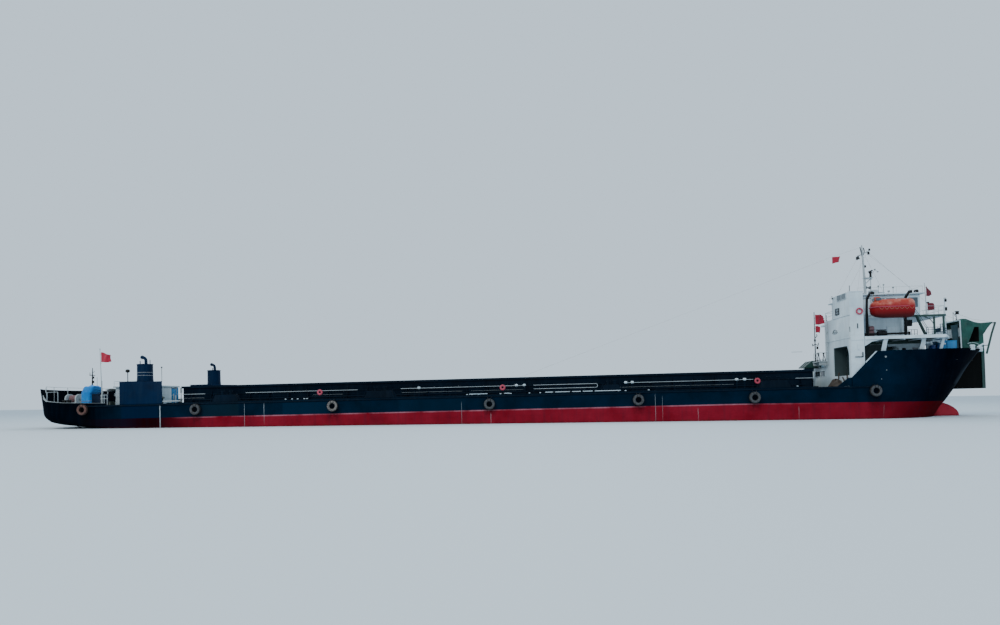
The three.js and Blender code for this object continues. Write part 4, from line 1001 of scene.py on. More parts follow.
for y in (-3.3, -1.2):
    frames += boxes([(-44.04, -44, y - 0.35, y + 0.35, z, z + 0.03) for z in (6.1, 6.67)], 0.01)
    panes += boxes([(-44.015, -44, y - 0.33, y + 0.33, 6.13, 6.67)], 0.005)
frames += bars(uprights([-44.1], spaced(-4.4, 0.25, 1.15), 7.25, 7.8), 0.02)
frames += bars([(-44.1, -4.4, 7.8, -44.1, 0.25, 7.8), (-44.1, -4.4, 7.8, -41, -4.4, 7.8),
    (-44.1, -4.4, 7.53, -41, -4.4, 7.53)], 0.02)
makePiece("aft_deckhouse_frames_and_rail", frames, "white")
makePiece("aft_deckhouse_panes", panes, "glass", smooth=0)

# Mooring winch: two pale cheeks with a rope drum between them, on a bed
winch = {"y": (-5.75, -4.15), "z": 5.95, "cheeks": (-49, -47.8)}
cheekTurn = np.linspace(0, math.pi, 12)
cheek = [(winch["y"][0], 5.35), (winch["y"][0], 6), *[(-4.95 - 0.8 * math.cos(a), 6.0 + 0.48 * math.sin(a))
    for a in cheekTurn[1:-1]], (winch["y"][1], 6), (winch["y"][1], 5.35)]
winchParts = [prism(cheek, x - 0.07, x + 0.07, "x") for x in winch["cheeks"]]
winchParts += boxes([(-49.18, -47.67, -6.1, -3.72, deckTop, 5.24), (-49.1, -47.7, -5.9, -5.75, 5.2, 5.5),
    (-49.1, -47.7, -4.15, -4, 5.2, 5.5)])
winchParts += [drum(0.1, -49.15, -47.68, (0, -4.95, winch["z"]), "x")]
winchParts += [drum(0.2, -47.7, -47.67, (0, -4.95, winch["z"]), "x", 16, 0.01)]
makePiece("stern_winch_frame", winchParts, "rail", replaces=["stern_winch"])
ropeAngle = around(8)
turns = []
for layer, radius in enumerate((0.3, 0.36)):
    for i in range(13 - layer):
        at = -48.85 + (i + 0.5 * layer) * 0.078
        profile = np.stack([radius + 0.04 * np.cos(ropeAngle), 0.04 * np.sin(ropeAngle) + at], -1)
        points, quads, _ = revolve(np.concatenate([profile, profile[:1]]), (0, -4.95, winch["z"]), "x", 20)
        turns.append((points, quads, []))
makePiece("winch_rope_turns", turns, "brown")


def makeSheet(name, points, tone, replaces=(), closed=False, drop=None):
    # Cloth as a grid of points, rows by columns. Its UV counts metres along the two ways of the grid, and
    # drop marks cells that are cut out.
    points = toModel(points)
    m, n = points.shape[:2]
    after = np.roll(points, -1, 1) if closed else points[:, 1:]
    rowSteps = np.linalg.norm(after - points[:, :after.shape[1]], axis=2)
    columnSteps = np.linalg.norm(np.diff(points, axis=0), axis=2)
    u = np.concatenate([[0], np.cumsum(rowSteps.mean(0))])[:n if not closed else n + 1]
    v = np.concatenate([[0], np.cumsum(columnSteps.mean(1))])
    quads = grid(m, n, closed)
    across = n if closed else n - 1
    cell = np.arange(len(quads))
    row, column = cell // across, cell % across
    keep = np.ones(len(quads), bool) if drop is None else ~drop[row, column]
    mesh = bpy.data.meshes.new(name)
    mesh.from_pydata(points.reshape(-1, 3).tolist(), [], quads[keep].tolist())
    layer = mesh.uv_layers.new(name="cut")
    corners = np.stack([np.stack([u[column], v[row]], -1), np.stack([u[column + 1], v[row]], -1),
        np.stack([u[column + 1], v[row + 1]], -1), np.stack([u[column], v[row + 1]], -1)], 1)[keep]
    layer.data.foreach_set("uv", corners.ravel())
    mesh.polygons.foreach_set("use_smooth", np.ones(len(mesh.polygons), bool))
    mesh.materials.append(cloth[tone])
    mesh.validate()
    item = bpy.data.objects.new(name, mesh)
    bpy.context.scene.collection.objects.link(item)
    solid = item.modifiers.new("cloth_thickness", "SOLIDIFY")
    solid.thickness = 0.0006
    solid.offset = 0
    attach(item, "barge")
    if replaces:
        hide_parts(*replaces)
    return item


def clothPoint(seed, *places):
    # Smooth wander from a few sine waves of different lengths
    total = 0
    for i in range(4):
        phase = seed * 1.7 + i * 2.3
        total = total + np.sin(sum(p * (1.3 + 0.9 * ((i + j + seed) % 3)) * (i + 1) * 0.8
            for j, p in enumerate(places)) + phase) / (i + 1.5)
    return total


# Blue cover draped over the second winch: a squarish dome whose front overhangs the locker, gathered in folds
cover = {"y": (-7.48, -5.62), "back": -46.17, "front": [(5.15, -44.89), (6.35, -44.89), (6.62, -44.66),
    (6.85, -44.52), (7.15, -44.45)], "top": 7.3, "crown": 0.16, "foot": 5.14}
angle = around(96)[None]
level = np.linspace(0, 1, 40)[:, None]
square = 1 / (np.abs(np.cos(angle)) ** 5 + np.abs(np.sin(angle)) ** 5) ** (1 / 5)
down = np.clip((level - 0.3) / 0.7, 0, 1)
shrink = np.sin(np.clip(level / 0.3, 0, 1) * math.pi / 2) * 0.97 + 0.03 * down
rounding = 1 - np.cos(np.clip(level / 0.3, 0, 1) * math.pi / 2)
z = cover["top"] - cover["crown"] * rounding - down * (cover["top"] - cover["crown"] - cover["foot"])
front = np.interp(z, [p[0] for p in cover["front"]], [p[1] for p in cover["front"]])
back = cover["back"] + 0.4 * np.clip((z - 6.5) / 0.8, 0, 1) ** 1.5
middle, halfX = (front + back) / 2, (front - back) / 2
folds = 0.03 * down * (np.sin(angle * 9 + 1.1 * np.sin(angle * 3 + level * 2))
    + 0.7 * np.sin(angle * 23 + level * 4))
wide = (cover["y"][1] - cover["y"][0]) / 2
x = middle + (halfX - 0.04 + folds) * shrink * square * np.cos(angle)
y = (cover["y"][0] + cover["y"][1]) / 2 + (wide - 0.04 + folds) * shrink * square * np.sin(angle)
lumps = 0.07 * clothPoint(3, x * 1.6, y * 1.4) * (1 - down) + 0.015 * clothPoint(1, x * 4, z * 3)
drapedCover = np.stack([x, y, np.clip(z + lumps, 5.135, 7.42) + 0 * x], -1)
makeSheet("winch_cover_cloth", drapedCover, "blue", closed=True,
    replaces=["winch_cover"])
lashing = [(cover["back"] - 0.02, cover["y"][0]), (-44.85, cover["y"][0]), (-44.85, cover["y"][1]),
    (cover["back"] - 0.02, cover["y"][1])]
makePiece("cover_lashing", [sweep([(x, y, 5.62) for x, y in lashing], ring(0.02, 6), loop=True)], "rope")
softened("stern_locker", "darkBlue")
makePiece("locker_lid_and_hinges", boxes([(-44.81, -43.78, -7.42, -5.88, 6.3, 6.34),
    (-44.6, -44.4, -7.44, -7.4, 6.2, 6.4), (-44.1, -43.9, -7.44, -7.4, 6.2, 6.4)], 0.01), "darkBlue")

# Light mast, canopy, staff and small gear on the poop
mastParts = [tube([(-47.6, -3.1, 5.3), (-47.55, -3.1, 7.6), (-47.5, -3.1, 9.5)], 0.09, 10, (1, 0, 0),
    [1, 0.85, 0.4])]
mastParts += boxes([(-47.88, -47.2, -3.4, -2.8, deckTop, 5.4), (-47.58, -47.5, -3.6, -2.6, 8.6, 8.68)])
mastParts += [drum(0.1, low, low + 0.26, (-47.42, -3.1, 0)) for low in (7.75, 8.25)]
mastParts += bars([(-47.52, -3.1, 8.9, -47.25, -3.1, 9.1), (-47.55, -3.5, 8.65, -47.55, -3.5, 8.95)], 0.025)
makePiece("stern_light_mast", mastParts, "black", replaces=["stern_mast"])
canopyArc = np.linspace(-1, 1, 14)
canopyX, canopyZ = -45.1 + 0.8 * canopyArc, 7.04 - 0.13 * canopyArc ** 2
canopyTop = np.stack([np.stack([canopyX, 0 * canopyArc + y, canopyZ], -1) for y in (-3.29, 3.29)])
canopyLow = canopyTop[:, ::-1] - [0, 0, 0.05]
makePiece("stern_canopy_roof", [surface(np.concatenate([canopyTop, canopyLow], 1), True, True)], "grey",
          replaces=["stern_canopy"])
canopyFrame = bars(uprights((-45.7, -44.5), (-3.1, 0, 3.1), deckTop, 6.9), 0.05)
canopyFrame += bars([(x, -3.2, 6.84, x, 3.2, 6.84) for x in (-45.7, -44.5)], 0.04)
canopyFrame += [revolve([(0.22, deckTop), (0.2, 5.6), (0.16, 6.1), (0.3, 6.2), (0.3, 6.5), (0.2, 6.62)],
    (-45, -2.4, 0))]
makePiece("canopy_frame_and_steering_stand", canopyFrame, "rail")
sternRail = []
line = hullPoints(6, np.linspace(0.86, 0, 14), 0.35, sternLevels)
line[:, 2] = np.interp(line[:, 0], [-50.6, -50], [7.35, 6.66])
line = np.concatenate([line, line[-2::-1] * [1, -1, 1]])
sternRail.append(tube(line, 0.022, 6, (0, 0, 1)))
sternRail += [tube([(x, y, 5.5), (x, y, z)], 0.028, 6) for x, y, z in line[::3]]
sternRail += bars([(-42.94, -8.6, deckTop, -42.94, -8.6, 6.2), (-42.6, -8.6, deckTop, -42.6, -8.6, 6.2),
    (-42.26, -8.6, deckTop, -42.26, -8.6, 6.2), (-42.98, -8.6, 6.2, -42.2, -8.6, 6.2),
    (-42.98, -8.6, 5.8, -42.2, -8.6, 5.8), (-45.72, -5, deckTop, -45.72, -5, 8.3),
    (-43.25, -8, deckTop, -43.2, -8, 7.74)], 0.03)
sternRail += boxes([(-36.05, -35.85, -5.1, -4.9, 6.3, 6.9), (-37.3, -33.9, -9.05, -8.95, 5.3, 5.42)], 0.03)
sternRail += bars([(-35.95, -5, deckTop, -35.95, -5, 6.4), (-36.6, -5.4, deckTop, -36.6, -5.4, 6.2),
    (-35.3, -7.4, deckTop, -35.3, -7.4, 6)], 0.05)
makePiece("poop_rails_and_posts", sternRail, "rail")
staff = [tube([(-43, -8.3, 5.2), (-43.2, -8.3, 11.2)], 0.06, 8, (1, 0, 0), [1, 0.55])]
staff += [revolve([(0.02, 0), (0.07, 0.03), (0.07, 0.08), (0.02, 0.11)], (-43.2, -8.3, 11.12), "z", 10),
          *boxes([(-43.2, -42.8, -8.5, -8.1, deckTop, 5.3)], 0.03)]
makePiece("stern_flagstaff_pole", staff, "rail", replaces=["stern_flagstaff"])
bitts = [revolve([(0.2, 0), (0.2, 0.5), (0.25, 0.54), (0.25, 0.62), (0.2, 0.66)], (x, y, 5.12))
    for x, y in ((-50.2, -1.4), (-50.2, -0.7), (-47.4, -8.1), (-46.8, -8.2), (-41.6, -5.1), (-41.6, -5.5))]
bitts += boxes([(-50.5, -49.9, -1.7, -0.4, deckTop, 5.22), (-47.8, -46.5, -8.5, -7.8, deckTop, 5.22)])
makePiece("poop_bitts", bothSides(bitts), "black")
hatches = boxes([(-47.2, -46.2, -1.9, -0.9, deckTop, 5.5), (-47.25, -46.15, -1.95, -0.85, 5.48, 5.55),
    (-38, -37.2, 2, 3, deckTop, 5.6)], 0.04)
hatches += [revolve([(0.1, 0), (0.1, 0.6), (0.26, 0.62), (0.26, 0.7), (0.12, 0.84), (0.02, 0.86)],
    (x, y, 5.12)) for x, y in ((-49.2, 1.6), (-38.2, 4.4), (-38.2, -4.9), (-44.8, 5.2))]
makePiece("poop_hatches_and_vents", hatches, "deck")
print("stern made")


# Propellers with twisted blades, and rudders with a rounded section
def bladePart():
    # One blade: radius runs from the boss to the tip, the chord follows a half ellipse and the pitch angle
    # falls as pitch / (2 pi r); thickness is a lens across the chord
    radius = np.linspace(0.2, 1.02, 12)[:, None]
    share = (radius - 0.2) / 0.82
    chord = 0.42 * np.sqrt(np.clip(1 - (share * 1.9 - 0.85) ** 2 / 1.25, 0.02, 1))
    turn = np.arange(18) / 18 * 2 * math.pi
    along = np.cos(turn)[None] * chord
    thick = np.sin(turn)[None] * 0.045 * (1.1 - share)
    pitch = np.arctan2(1.5, 2 * math.pi * radius)
    x = along * np.sin(pitch) + thick * np.cos(pitch)
    sideways = along * np.cos(pitch) - thick * np.sin(pitch)
    bend = sideways / radius
    return surface(np.stack([x, radius * np.sin(bend), radius * np.cos(bend)], -1), True, True)


for label, side in (("starboard", -1), ("port", 1)):
    centre = np.array([-46.75, side * shafts["y"], shafts["z"]])
    parts = [revolve([(0.02, -0.42), (0.12, -0.38), (0.22, -0.2), (0.27, 0.05), (0.27, 0.3), (0.17, 0.34),
        (0.17, 0.8)], centre, "x", 20)]
    blade = bladePart()
    for i in range(4):
        c, s = math.cos(i * math.pi / 2), math.sin(i * math.pi / 2)
        points = blade[0] @ np.array([[1, 0, 0], [0, c, s], [0, -s, c]]) * [1, side, 1]
        parts.append((points + centre, blade[1], blade[2]))
    makePiece("bronze_propeller_" + label, parts, "bronze", "propeller_" + label + "_body",
              replaces=["propeller_" + label])
    chordTurn = around(24)
    thick = 0.11 * np.sin(chordTurn) * (1 + 0.45 * np.cos(chordTurn)) * 0.7
    foil = np.stack([-48.7 + 0.85 * np.cos(chordTurn), side * shafts["y"] + thick], -1)
    middle = np.array([-48.7, side * shafts["y"]])
    rows = [np.column_stack([(foil - middle) * size + middle, np.full(len(foil), z)])
            for z, size in ((0.4, 0.94), (0.46, 1), (2.44, 1), (2.5, 0.94))]
    y = side * shafts["y"]
    rudder = [surface(np.array(rows), True, True), drum(0.16, 2.3, 2.75, (-48.35, y, 0), "z", 16)]
    rudder += boxes([(-49.5, -47.9, y - 0.12, y + 0.12, z, z + 0.05) for z in (1, 1.7)], 0.01)
    makePiece("steering_rudder_" + label, rudder, "hull", "rudder_" + label + "_body",
        replaces=["rudder_" + label])
anodes = boxes([(x, x + 0.45, -9.2, -9.14, 1.1, 1.25) for x in (-34, -30, -20, -10, 0, 10, 20, 28)])
makePiece("zinc_anodes", bothSides(anodes), "zinc")
print("underwater gear made")


# Stair tower: the steel box itself, then what hangs on its aft and starboard faces
houses = ["stair_tower", "forecastle_house", "boat_deck_starboard", "boat_deck_port", "boat_deck_house"]
for name in (*houses, "wheelhouse_roof"):
    softened(name, "white")
# Painted shade: thin dark panels inside the tower opening, along the passage wall, in the doorway and under
# the boat deck
shadePanels = boxes([(34.86, 36.13, -4.63, -4.585, 6.21, 9.14), (34.86, 36.13, -8, -4.6, 9.1, 9.145)], 0.005)
shadePanels += boxes([(36.2, 39.5, -6.235, -6.205, 6.24, 9.3), (36.155, 36.178, -6.2, -4.6, 6.24, 9.3),
    (39.54, 40.44, -5.26, -5.22, 7.01, 9.09), (36.2, 43, -9, -6.25, 9.66, 9.695)], 0.005)
makePiece("passage_painted_shade_panels", shadePanels, "shade", smooth=0)
capStrip = prism([(36.17, 7.38), (37.27, 8.5), (37.15, 8.5), (36.17, 7.5)], -9.16, -9.03)
makePiece("bulwark_cap_strip", bothSides([capStrip, *boxes([(34.84, 36.16, -9.06, -9.03, 9.64, 9.7)],
    0.01)]), "white")
foot = prism([(33.45, deckTop), (34.5, 5.95), (34.83, 5.98), (34.83, deckTop)], -9.06, -8.96)
makePiece("bulwark_foot_bracket", bothSides([foot]), "hull")
makePiece("passage_head_beam", boxes([(36.2, 43, -6.3, -6.21, 9.32, 9.65)]), "green")
towerDark = boxes([(34.78, 34.84, -6.42, -6.3, 12.55, 13.14), (34.78, 34.84, -5.52, -5.4, 12.55, 13.14),
    (34.79, 34.84, -6.3, -5.52, 12.8, 12.86), (34.78, 34.84, -6.42, -5.4, 13.1, 13.18),
    (34.78, 34.84, -6.42, -5.4, 12.5, 12.58), (34.8, 34.84, -8.98, -8.9, 10.5, 11),
    (34.8, 34.84, -3.06, -2.98, 10.8, 11.05), (34.75, 34.84, -4.85, -4.62, 14.3, 14.42),
    (34.76, 34.84, -2.35, -2.15, 12.25, 12.35), (34.8, 34.86, 0.75, 0.93, 6.33, 6.88)], 0.01)
towerDark += boxes([(35.22, 35.98, -9.12, -9.03, 7.95, 8.02), (35.9, 35.98, -9.12, -9.03, 8, 8.45),
    (35.5, 35.58, -9.08, -9.02, 10.8, 11.3)], 0.01)
towerDark += bars([(34.95, -8.85, 14.5, 34.95, -8.85, 15.1), (34.95, -2.5, 12.2, 34.95, -2.5, 12.9)], 0.03)
towerDark += bars([(34.72, -2.2, 12.6, 34.84, -2.2, 12.6), (34.72, -4.7, 14.55, 34.84, -4.7, 14.55)], 0.04)
makePiece("tower_lamps_and_brackets", towerDark, "black")
paneRows = [(34.815, 34.84, -8.2, -5.94, 13.92, 14.42), (34.8, 34.835, -6.32, -5.5, 12.6, 12.79),
    (34.8, 34.835, -6.32, -5.5, 12.91, 13.1), (35.02, 35.06, -1.93, 0.93, 6.33, 6.88)]
makePiece("tower_panes", boxes(paneRows, 0.004), "glass", smooth=0)
trims = [(34.79, 34.84, -8.26, -5.88, z, z + 0.05) for z in (13.86, 14.43)]
trims += [(34.79, 34.84, y, y + 0.05, 13.86, 14.48) for y in (-8.26, -7.1, -5.93)]
trims += [(34.8, 34.88, -2, 1, z, z + 0.05) for z in (6.27, 6.89)]
trims += [(34.8, 34.88, y, y + 0.05, 6.27, 6.94) for y in (-2, -0.6, 0.95)]
trims += [(34.8, 34.86, -8.5, -4.52, 9.15, 9.2), (34.8, 34.86, -4.58, -4.52, 6.2, 9.2),
    (34.82, 36.17, -9.06, -9.02, 14.42, 14.5), (34.8, 34.84, -9.02, -4.6, 12.16, 12.2),
    (34.8, 34.84, -9.02, -2.2, 9.9, 9.95)]
trims += [(35.5, 35.66, -9.08, -9.02, 8.66, 9.25)]
makePiece("tower_frames_and_mouldings", boxes(trims, 0.01), "white")
ventArc = np.linspace(0.15, math.pi - 0.15, 16)
cowl = [tube(np.stack([0 * ventArc + 34.8, -5.15 - 0.62 * np.cos(ventArc), 10.62 + 0.42 * np.sin(ventArc)],
    -1), 0.035, 6, (1, 0, 0))]
cowl += boxes([(34.79, 34.83, -5.6, -4.7, z, z + 0.03) for z in (10.62, 10.72, 10.82)], 0.005)
makePiece("tower_vent_grille", cowl, "grey")
rungs = crossbars(34.74, -3.3, 34.74, -2.9, spaced(7.6, 12, 0.3))
ladder = bars(rungs, 0.018) + bars(uprights([34.74], (-3.3, -2.9), 7.4, 12.3), 0.025)
ladder += bars([(34.74, y, z, 34.84, y, z) for y in (-3.3, -2.9) for z in (7.8, 9.8, 11.8)], 0.02)
ladder += bars([(34.95, -4.65, 12.21, 34.95, -4.65, 13.1), (34.95, -2.3, 12.21, 34.95, -2.3, 13.1),
    (36, -2.3, 12.21, 36, -2.3, 13.1), (34.95, -4.65, 13.1, 34.95, -2.3, 13.1),
    (34.95, -2.3, 13.1, 36, -2.3, 13.1), (34.95, -4.65, 12.65, 34.95, -2.3, 12.65),
    (34.95, -2.2, 7.31, 34.95, -2.2, 8.2), (34.95, 1.35, 7.31, 34.95, 1.35, 8.2),
    (34.95, -2.2, 8.2, 34.95, 1.35, 8.2)], 0.022)
makePiece("tower_ladder_and_rails", ladder, "rail")

# Platform behind the tower: plate on brackets, its rail and the pole with its lantern gear
platform = boxes([(33.95, 34.835, -2.8, -0.75, 7.84, 7.92), (33.98, 34.83, -2.72, -2.66, 7.5, 7.84),
    (33.98, 34.83, -0.9, -0.84, 7.5, 7.84)], 0.015)
platform += bars(uprights([33.99], (-2.76, -1.9, -1.15), 7.9, 8.85), 0.028)
platform += bars(crossbars(33.99, -2.76, 33.99, -1.15, (8.4, 8.83)), 0.028)
platform += bars([(33.99, -2.76, 8.83, 34.83, -2.76, 8.83)], 0.028)
platform += bars([(34.02, -2.7, 7.84, 34.83, -2.7, 7.2), (34.02, -0.85, 7.84, 34.83, -0.85, 7.2)], 0.04)
makePiece("tower_platform_and_rail", platform, "rail", replaces=["tower_platform"])
poleParts = [tube([(34.26, -0.85, 7.88), (34.26, -0.85, 13.45)], 0.06, 10, (1, 0, 0), [1, 0.6])]
poleParts += bars([(34.26, -0.85, 10.55, 34.5, -0.85, 10.8), (34.26, -0.85, 9.9, 34.6, -0.85, 9.75),
    (34.26, -0.85, 9.9, 33.98, -0.85, 9.7), (34.6, -0.85, 9.75, 34.62, -0.85, 10.05),
    (34, -0.85, 9.7, 33.99, -0.85, 9.95), (34.5, -0.85, 10.8, 34.45, -0.85, 11)], 0.04)
poleParts += [drum(0.11, 0, 0.3, (34.5, -0.85, 9.35)), drum(0.1, 0, 0.24, (34.26, -0.85, 10.2))]
for x in (34.12, 34.68):
    poleParts += bars([(x - 0.15, -2.3, 7.92, x, -2.1, 8.75), (x + 0.15, -2.3, 7.92, x, -2.1, 8.75),
        (x, -1.8, 7.92, x, -2.1, 8.75)], 0.035)
    poleParts += [drum(0.1, 0, 0.2, (x, -2.1, 8.7))]
makePiece("tower_pole_and_lanterns", poleParts, "black")
boards = []
for x, y, lean, high in ((34.68, -8.3, 0.1, 0.45), (34.55, -7.9, 0.5, 0.3), (34.6, -6.2, -0.2, 0.75)):
    outline = [(y, 5.6), (y + 0.2, 5.6), (y + 0.2 + lean, 5.8 + high), (y + lean, 5.8 + high)]
    boards.append(prism(outline, x, x + 0.07, "x"))
heapAngle = around(28)[None]
heapShare = np.linspace(0.02, 1, 14)[:, None]
bumpy = 1 + 0.13 * clothPoint(5, heapAngle * 2, heapShare * 5)
heap = np.stack([34.2 + 0.52 * heapShare * bumpy * np.cos(heapAngle),
    -6.55 + 1.45 * heapShare * bumpy * np.sin(heapAngle),
    5.125 + 0.72 * (1 - heapShare ** 2.6) * bumpy + 0.06 * np.sin(heapAngle * 7 + heapShare * 9)], -1)
boards.append(surface(heap, True, True))
makePiece("dunnage_and_sweepings", boards, "timber", smooth=60)
makePiece("tower_foot_posts", bothSides(bars([(32.55, -5, deckTop, 32.55, -5, 6.95)], 0.06)), "white")
softened("passage_door", "white", 0.02, "passage_door_body")
doorGear = boxes([(40.62, 40.66, -6.36, -6.32, 7.95, 8.1), (40.95, 41.3, -6.335, -6.32, 8.5, 8.9),
    (40.5, 40.56, -6.345, -6.32, 7.2, 7.4), (40.5, 40.56, -6.345, -6.32, 8.7, 8.9)], 0.01)
# Liferaft canister on its cradle by the boat deck house
raft = [revolve([(0.02, 0), (0.2, 0.02), (0.27, 0.1), (0.27, 0.42), (0.29, 0.44), (0.29, 0.48), (0.27, 0.5),
    (0.27, 0.85), (0.2, 0.93), (0.02, 0.95)], (38.55, -6.3, 10.45), "x", 22)]
raft += boxes([(x - 0.05, x + 0.05, -6.55, -6.05, 9.98, 10.24) for x in (38.75, 39.3)])
makePiece("liferaft_canister", raft, "black")
makePiece("passage_door_gear", doorGear, "black", "passage_door_body")
print("tower made")


# Boat deck: fascia, rails, stair up to the bridge deck, winch for the falls and loose gear
fascia = boxes([(36.2, 43.85, -9.12, -9.07, 9.66, 9.98), (36.2, 36.25, -9.1, -1.2, 9.96, 10)], 0.01)
fascia += boxes([(x - 0.04, x + 0.04, -9, -6.3, 9.55, 9.7) for x in spaced(36.8, 43.2, 1.6)], 0.01)
makePiece("boat_deck_fascia", fascia, "white")
boatRail = uprights(spaced(42.1, 43.7, 0.53), [-8.95], boatDeckTop, 10.7)
boatRail += crossbars(42.1, -8.95, 43.7, -8.95, (10.22, 10.46, 10.7))
boatRail += crossbars(43.7, -8.95, 45.4, -6.3, (10.22, 10.46, 10.7))
boatRail += uprights([45.4], [-6.3], boatDeckTop, 10.7) + uprights([44.5], [-7.7], boatDeckTop, 10.7)
boatRail += uprights(spaced(41.75, 42.6, 0.28), [-6.1], boatDeckTop, 10.75)
boatRail += crossbars(41.75, -6.1, 42.6, -6.1, (10.3, 10.75))
makePiece("boat_deck_rails", bars(boatRail, 0.022), "navy")
portRail = uprights(spaced(39.9, 44.8, 1.2), [8.95], boatDeckTop, 10.9)
portRail += crossbars(39.9, 8.95, 44.8, 8.95, (10.25, 10.57, 10.9))
for x in (44.8, 39.9):
    portRail += uprights([x], spaced(1.9, 8.9, 1.4), boatDeckTop, 10.9)
    portRail += crossbars(x, 1.9, x, 8.95, (10.57, 10.9))
bridgeRail = uprights([45.42], spaced(-5.8, 2.5, 1.1), bridgeDeckTop, 13.15)
bridgeRail += crossbars(45.42, -5.8, 45.42, 2.5, (12.7, 13.15))
for y in (-5.82, 2.52):
    bridgeRail += uprights(spaced(43.6, 45.4, 0.9), [y], bridgeDeckTop, 13.15)
for y in (-5.82, 2.52):
    bridgeRail += crossbars(43.5, y, 45.42, y, (12.7, 13.15))
makePiece("upper_deck_rails", bars(portRail, 0.026) + bars(bridgeRail, 0.018), "rail")
stairRail = []
for y in (-6.5, -6.2):
    stairRail += bars([(42.4, y, 12.2, 43.35, y, 9.98)], 0.075)
    stairRail += bars([(42.2, y, 12.95, 43.5, y, 10.75), (43.5, y, 10.75, 43.5, y, 10)], 0.022)
for s in np.linspace(0.06, 0.94, 9):
    x, z = 42.42 + 0.95 * s, 12.2 - 2.2 * s
    stairRail += boxes([(x - 0.09, x + 0.09, -6.5, -6.2, z - 0.02, z + 0.02)], 0.008)
stairRail += bars([(44.43, -5.8, boatDeckTop, 44.43, -5.8, 12.1),
    (45.36, -5.8, boatDeckTop, 45.36, -5.8, 12.1)], 0.1)
stairRail += [tube(curved([(44.4, -5.82, 11.2), (44.25, -5.82, 11.5), (43.95, -5.82, 11.85),
    (43.4, -5.82, 12.08)], 4), 0.04, 6, (0, 1, 0))]
stairRail += boxes([(41.75, 45.52, -5.97, -5.9, 12.06, bridgeDeckTop),
    (45.5, 45.56, -5.95, 2.6, 12.06, bridgeDeckTop)])
makePiece("bridge_stair_and_posts", stairRail, "green")
gear = boxes([(37.85, 38.44, -6, -5.74, 10.05, 10.75), (37.95, 38.3, -5.95, -5.76, 10.75, 11.15)], 0.05)
gear += [drum(0.25, -0.24, 0.24, (38.15, -5.86, 11), "x", 18)]
makePiece("boat_fall_winch", gear, "brown")
deckGear = boxes([(38.72, 39.71, -5.78, -5.7, 10.8, 10.88), (41.95, 42.55, -5.25, -4.95, 11.2, 11.85),
    (42, 42.06, -5.1, -5.04, boatDeckTop, 11.3), (38.9, 39.6, -6.05, -5.75, 10, 10.12)])
deckGear += [revolve([(0.13, 0), (0.13, 0.3), (0.19, 0.34), (0.19, 0.42), (0.1, 0.48)],
    (x, -5.95, boatDeckTop), "z", 14) for x in (39.06, 39.44)]
makePiece("boat_deck_fittings", deckGear, "black")
lightPanel = boxes([(39.78, 41.1, -5.77, -5.7, 10.2, 11.2), (36.9, 37.5, -5.74, -5.7, 10.1, 11.9)])
lightPanel += [drum(0.3, -0.55, 0.55, (40.3, -2.2, 12.62), "x", 18, 0.08)]
makePiece("house_panels_and_raft", lightPanel, "white")
housePanes = [(41.69, 41.72, y, y + 0.7, 11, 11.6) for y in (-5.2, -4, -2.8)]
housePanes += [(x, x + 0.55, -6.225, -6.2, 8.3, 8.9) for x in (38, 42)]
housePanes += [(42.99, 43.02, y, y + 0.6, 8.4, 9) for y in (-5.6, -3.8, -2.2)]
makePiece("house_panes", boxes(housePanes, 0.005), "glass", smooth=0)
pillarCaps = boxes([(37.3, 38.5, -9.06, -8.86, 6.21, 6.3)])
makePiece("pillar_feet", pillarCaps, "white")
dots = [drum(r, -9.2, -9.14, (x, 0, z), "y", 14, 0.01)
        for x, z, r in ((38.05, 7.92, 0.1), (38.09, 6.61, 0.045), (37.59, 5.74, 0.04))]
makePiece("bow_drain_flanges", bothSides(dots), "grey")
print("boat deck made")


# Wheelhouse: shell, glass in each opening, roof gear and the console inside
softened("wheelhouse", "white", 0.025)
softened("wheelhouse_door", "white", 0.015, "wheelhouse_door_body")
glassRows = [(x, x + 0.02, -4.92 + i * 1.11, -3.97 + i * 1.11, 13.15, 14.15) for i in range(6)
    for x in (43.33, 37.25)]
glassRows += [(38.95 + i * 1.1, 39.9 + i * 1.1, y, y + 0.02, 13.15, 14.15) for i in range(4)
    for y in (-5.15, 1.83)]
makePiece("wheelhouse_glass", boxes(glassRows, 0.004), "glass", smooth=0)
inside = boxes([(42.2, 43, -4.2, 0.9, bridgeDeckTop, 13.15), (40.9, 41.4, -1.9, -1.4, bridgeDeckTop, 12.9),
    (40.85, 40.95, -1.9, -1.4, 12.9, 13.5), (37.4, 38.2, -1, 1.6, bridgeDeckTop, 13)], 0.04)
inside += [tube([(42.15, -1.95 + 0.28 * math.cos(a), 13.2 + 0.28 * math.sin(a))
    for a in np.linspace(0, 2 * math.pi, 17)], 0.02, 6)]
makePiece("wheelhouse_console", inside, "darkBlue")
handle = [tube(curved([(37.78, -5.19, 13.1), (37.78, -5.24, 13.12), (37.78, -5.24, 13.28),
    (37.78, -5.19, 13.3)], 4), 0.014, 6)]
makePiece("wheelhouse_door_handle", handle, "zinc", "wheelhouse_door_body")
roofGear = boxes([(39.25, 40.1, -3.4, -2.7, roofTop, 15.35), (37.6, 38.2, -4.6, -4, roofTop, 14.9),
    (42.4, 43, -1, -0.5, roofTop, 14.95)], 0.08)
makePiece("roof_lockers", roofGear, "rail")
roofRails = bars([(x, y, 14.65, x, y, 15.3) for y in (-5.4, 2.1) for x in spaced(37.1, 43.6, 1.3)]
    + [(37.1, y, 15.3, 43.6, y, 15.3) for y in (-5.4, 2.1)] + [(43.6, -5.4, 15.3, 43.6, 2.1, 15.3)], 0.012)
roofRails += bars([(40.28, -3, 15.08, 40.88, -3, 15.06), (40.3, -3, roofTop, 40.3, -3, 15.08)], 0.06)
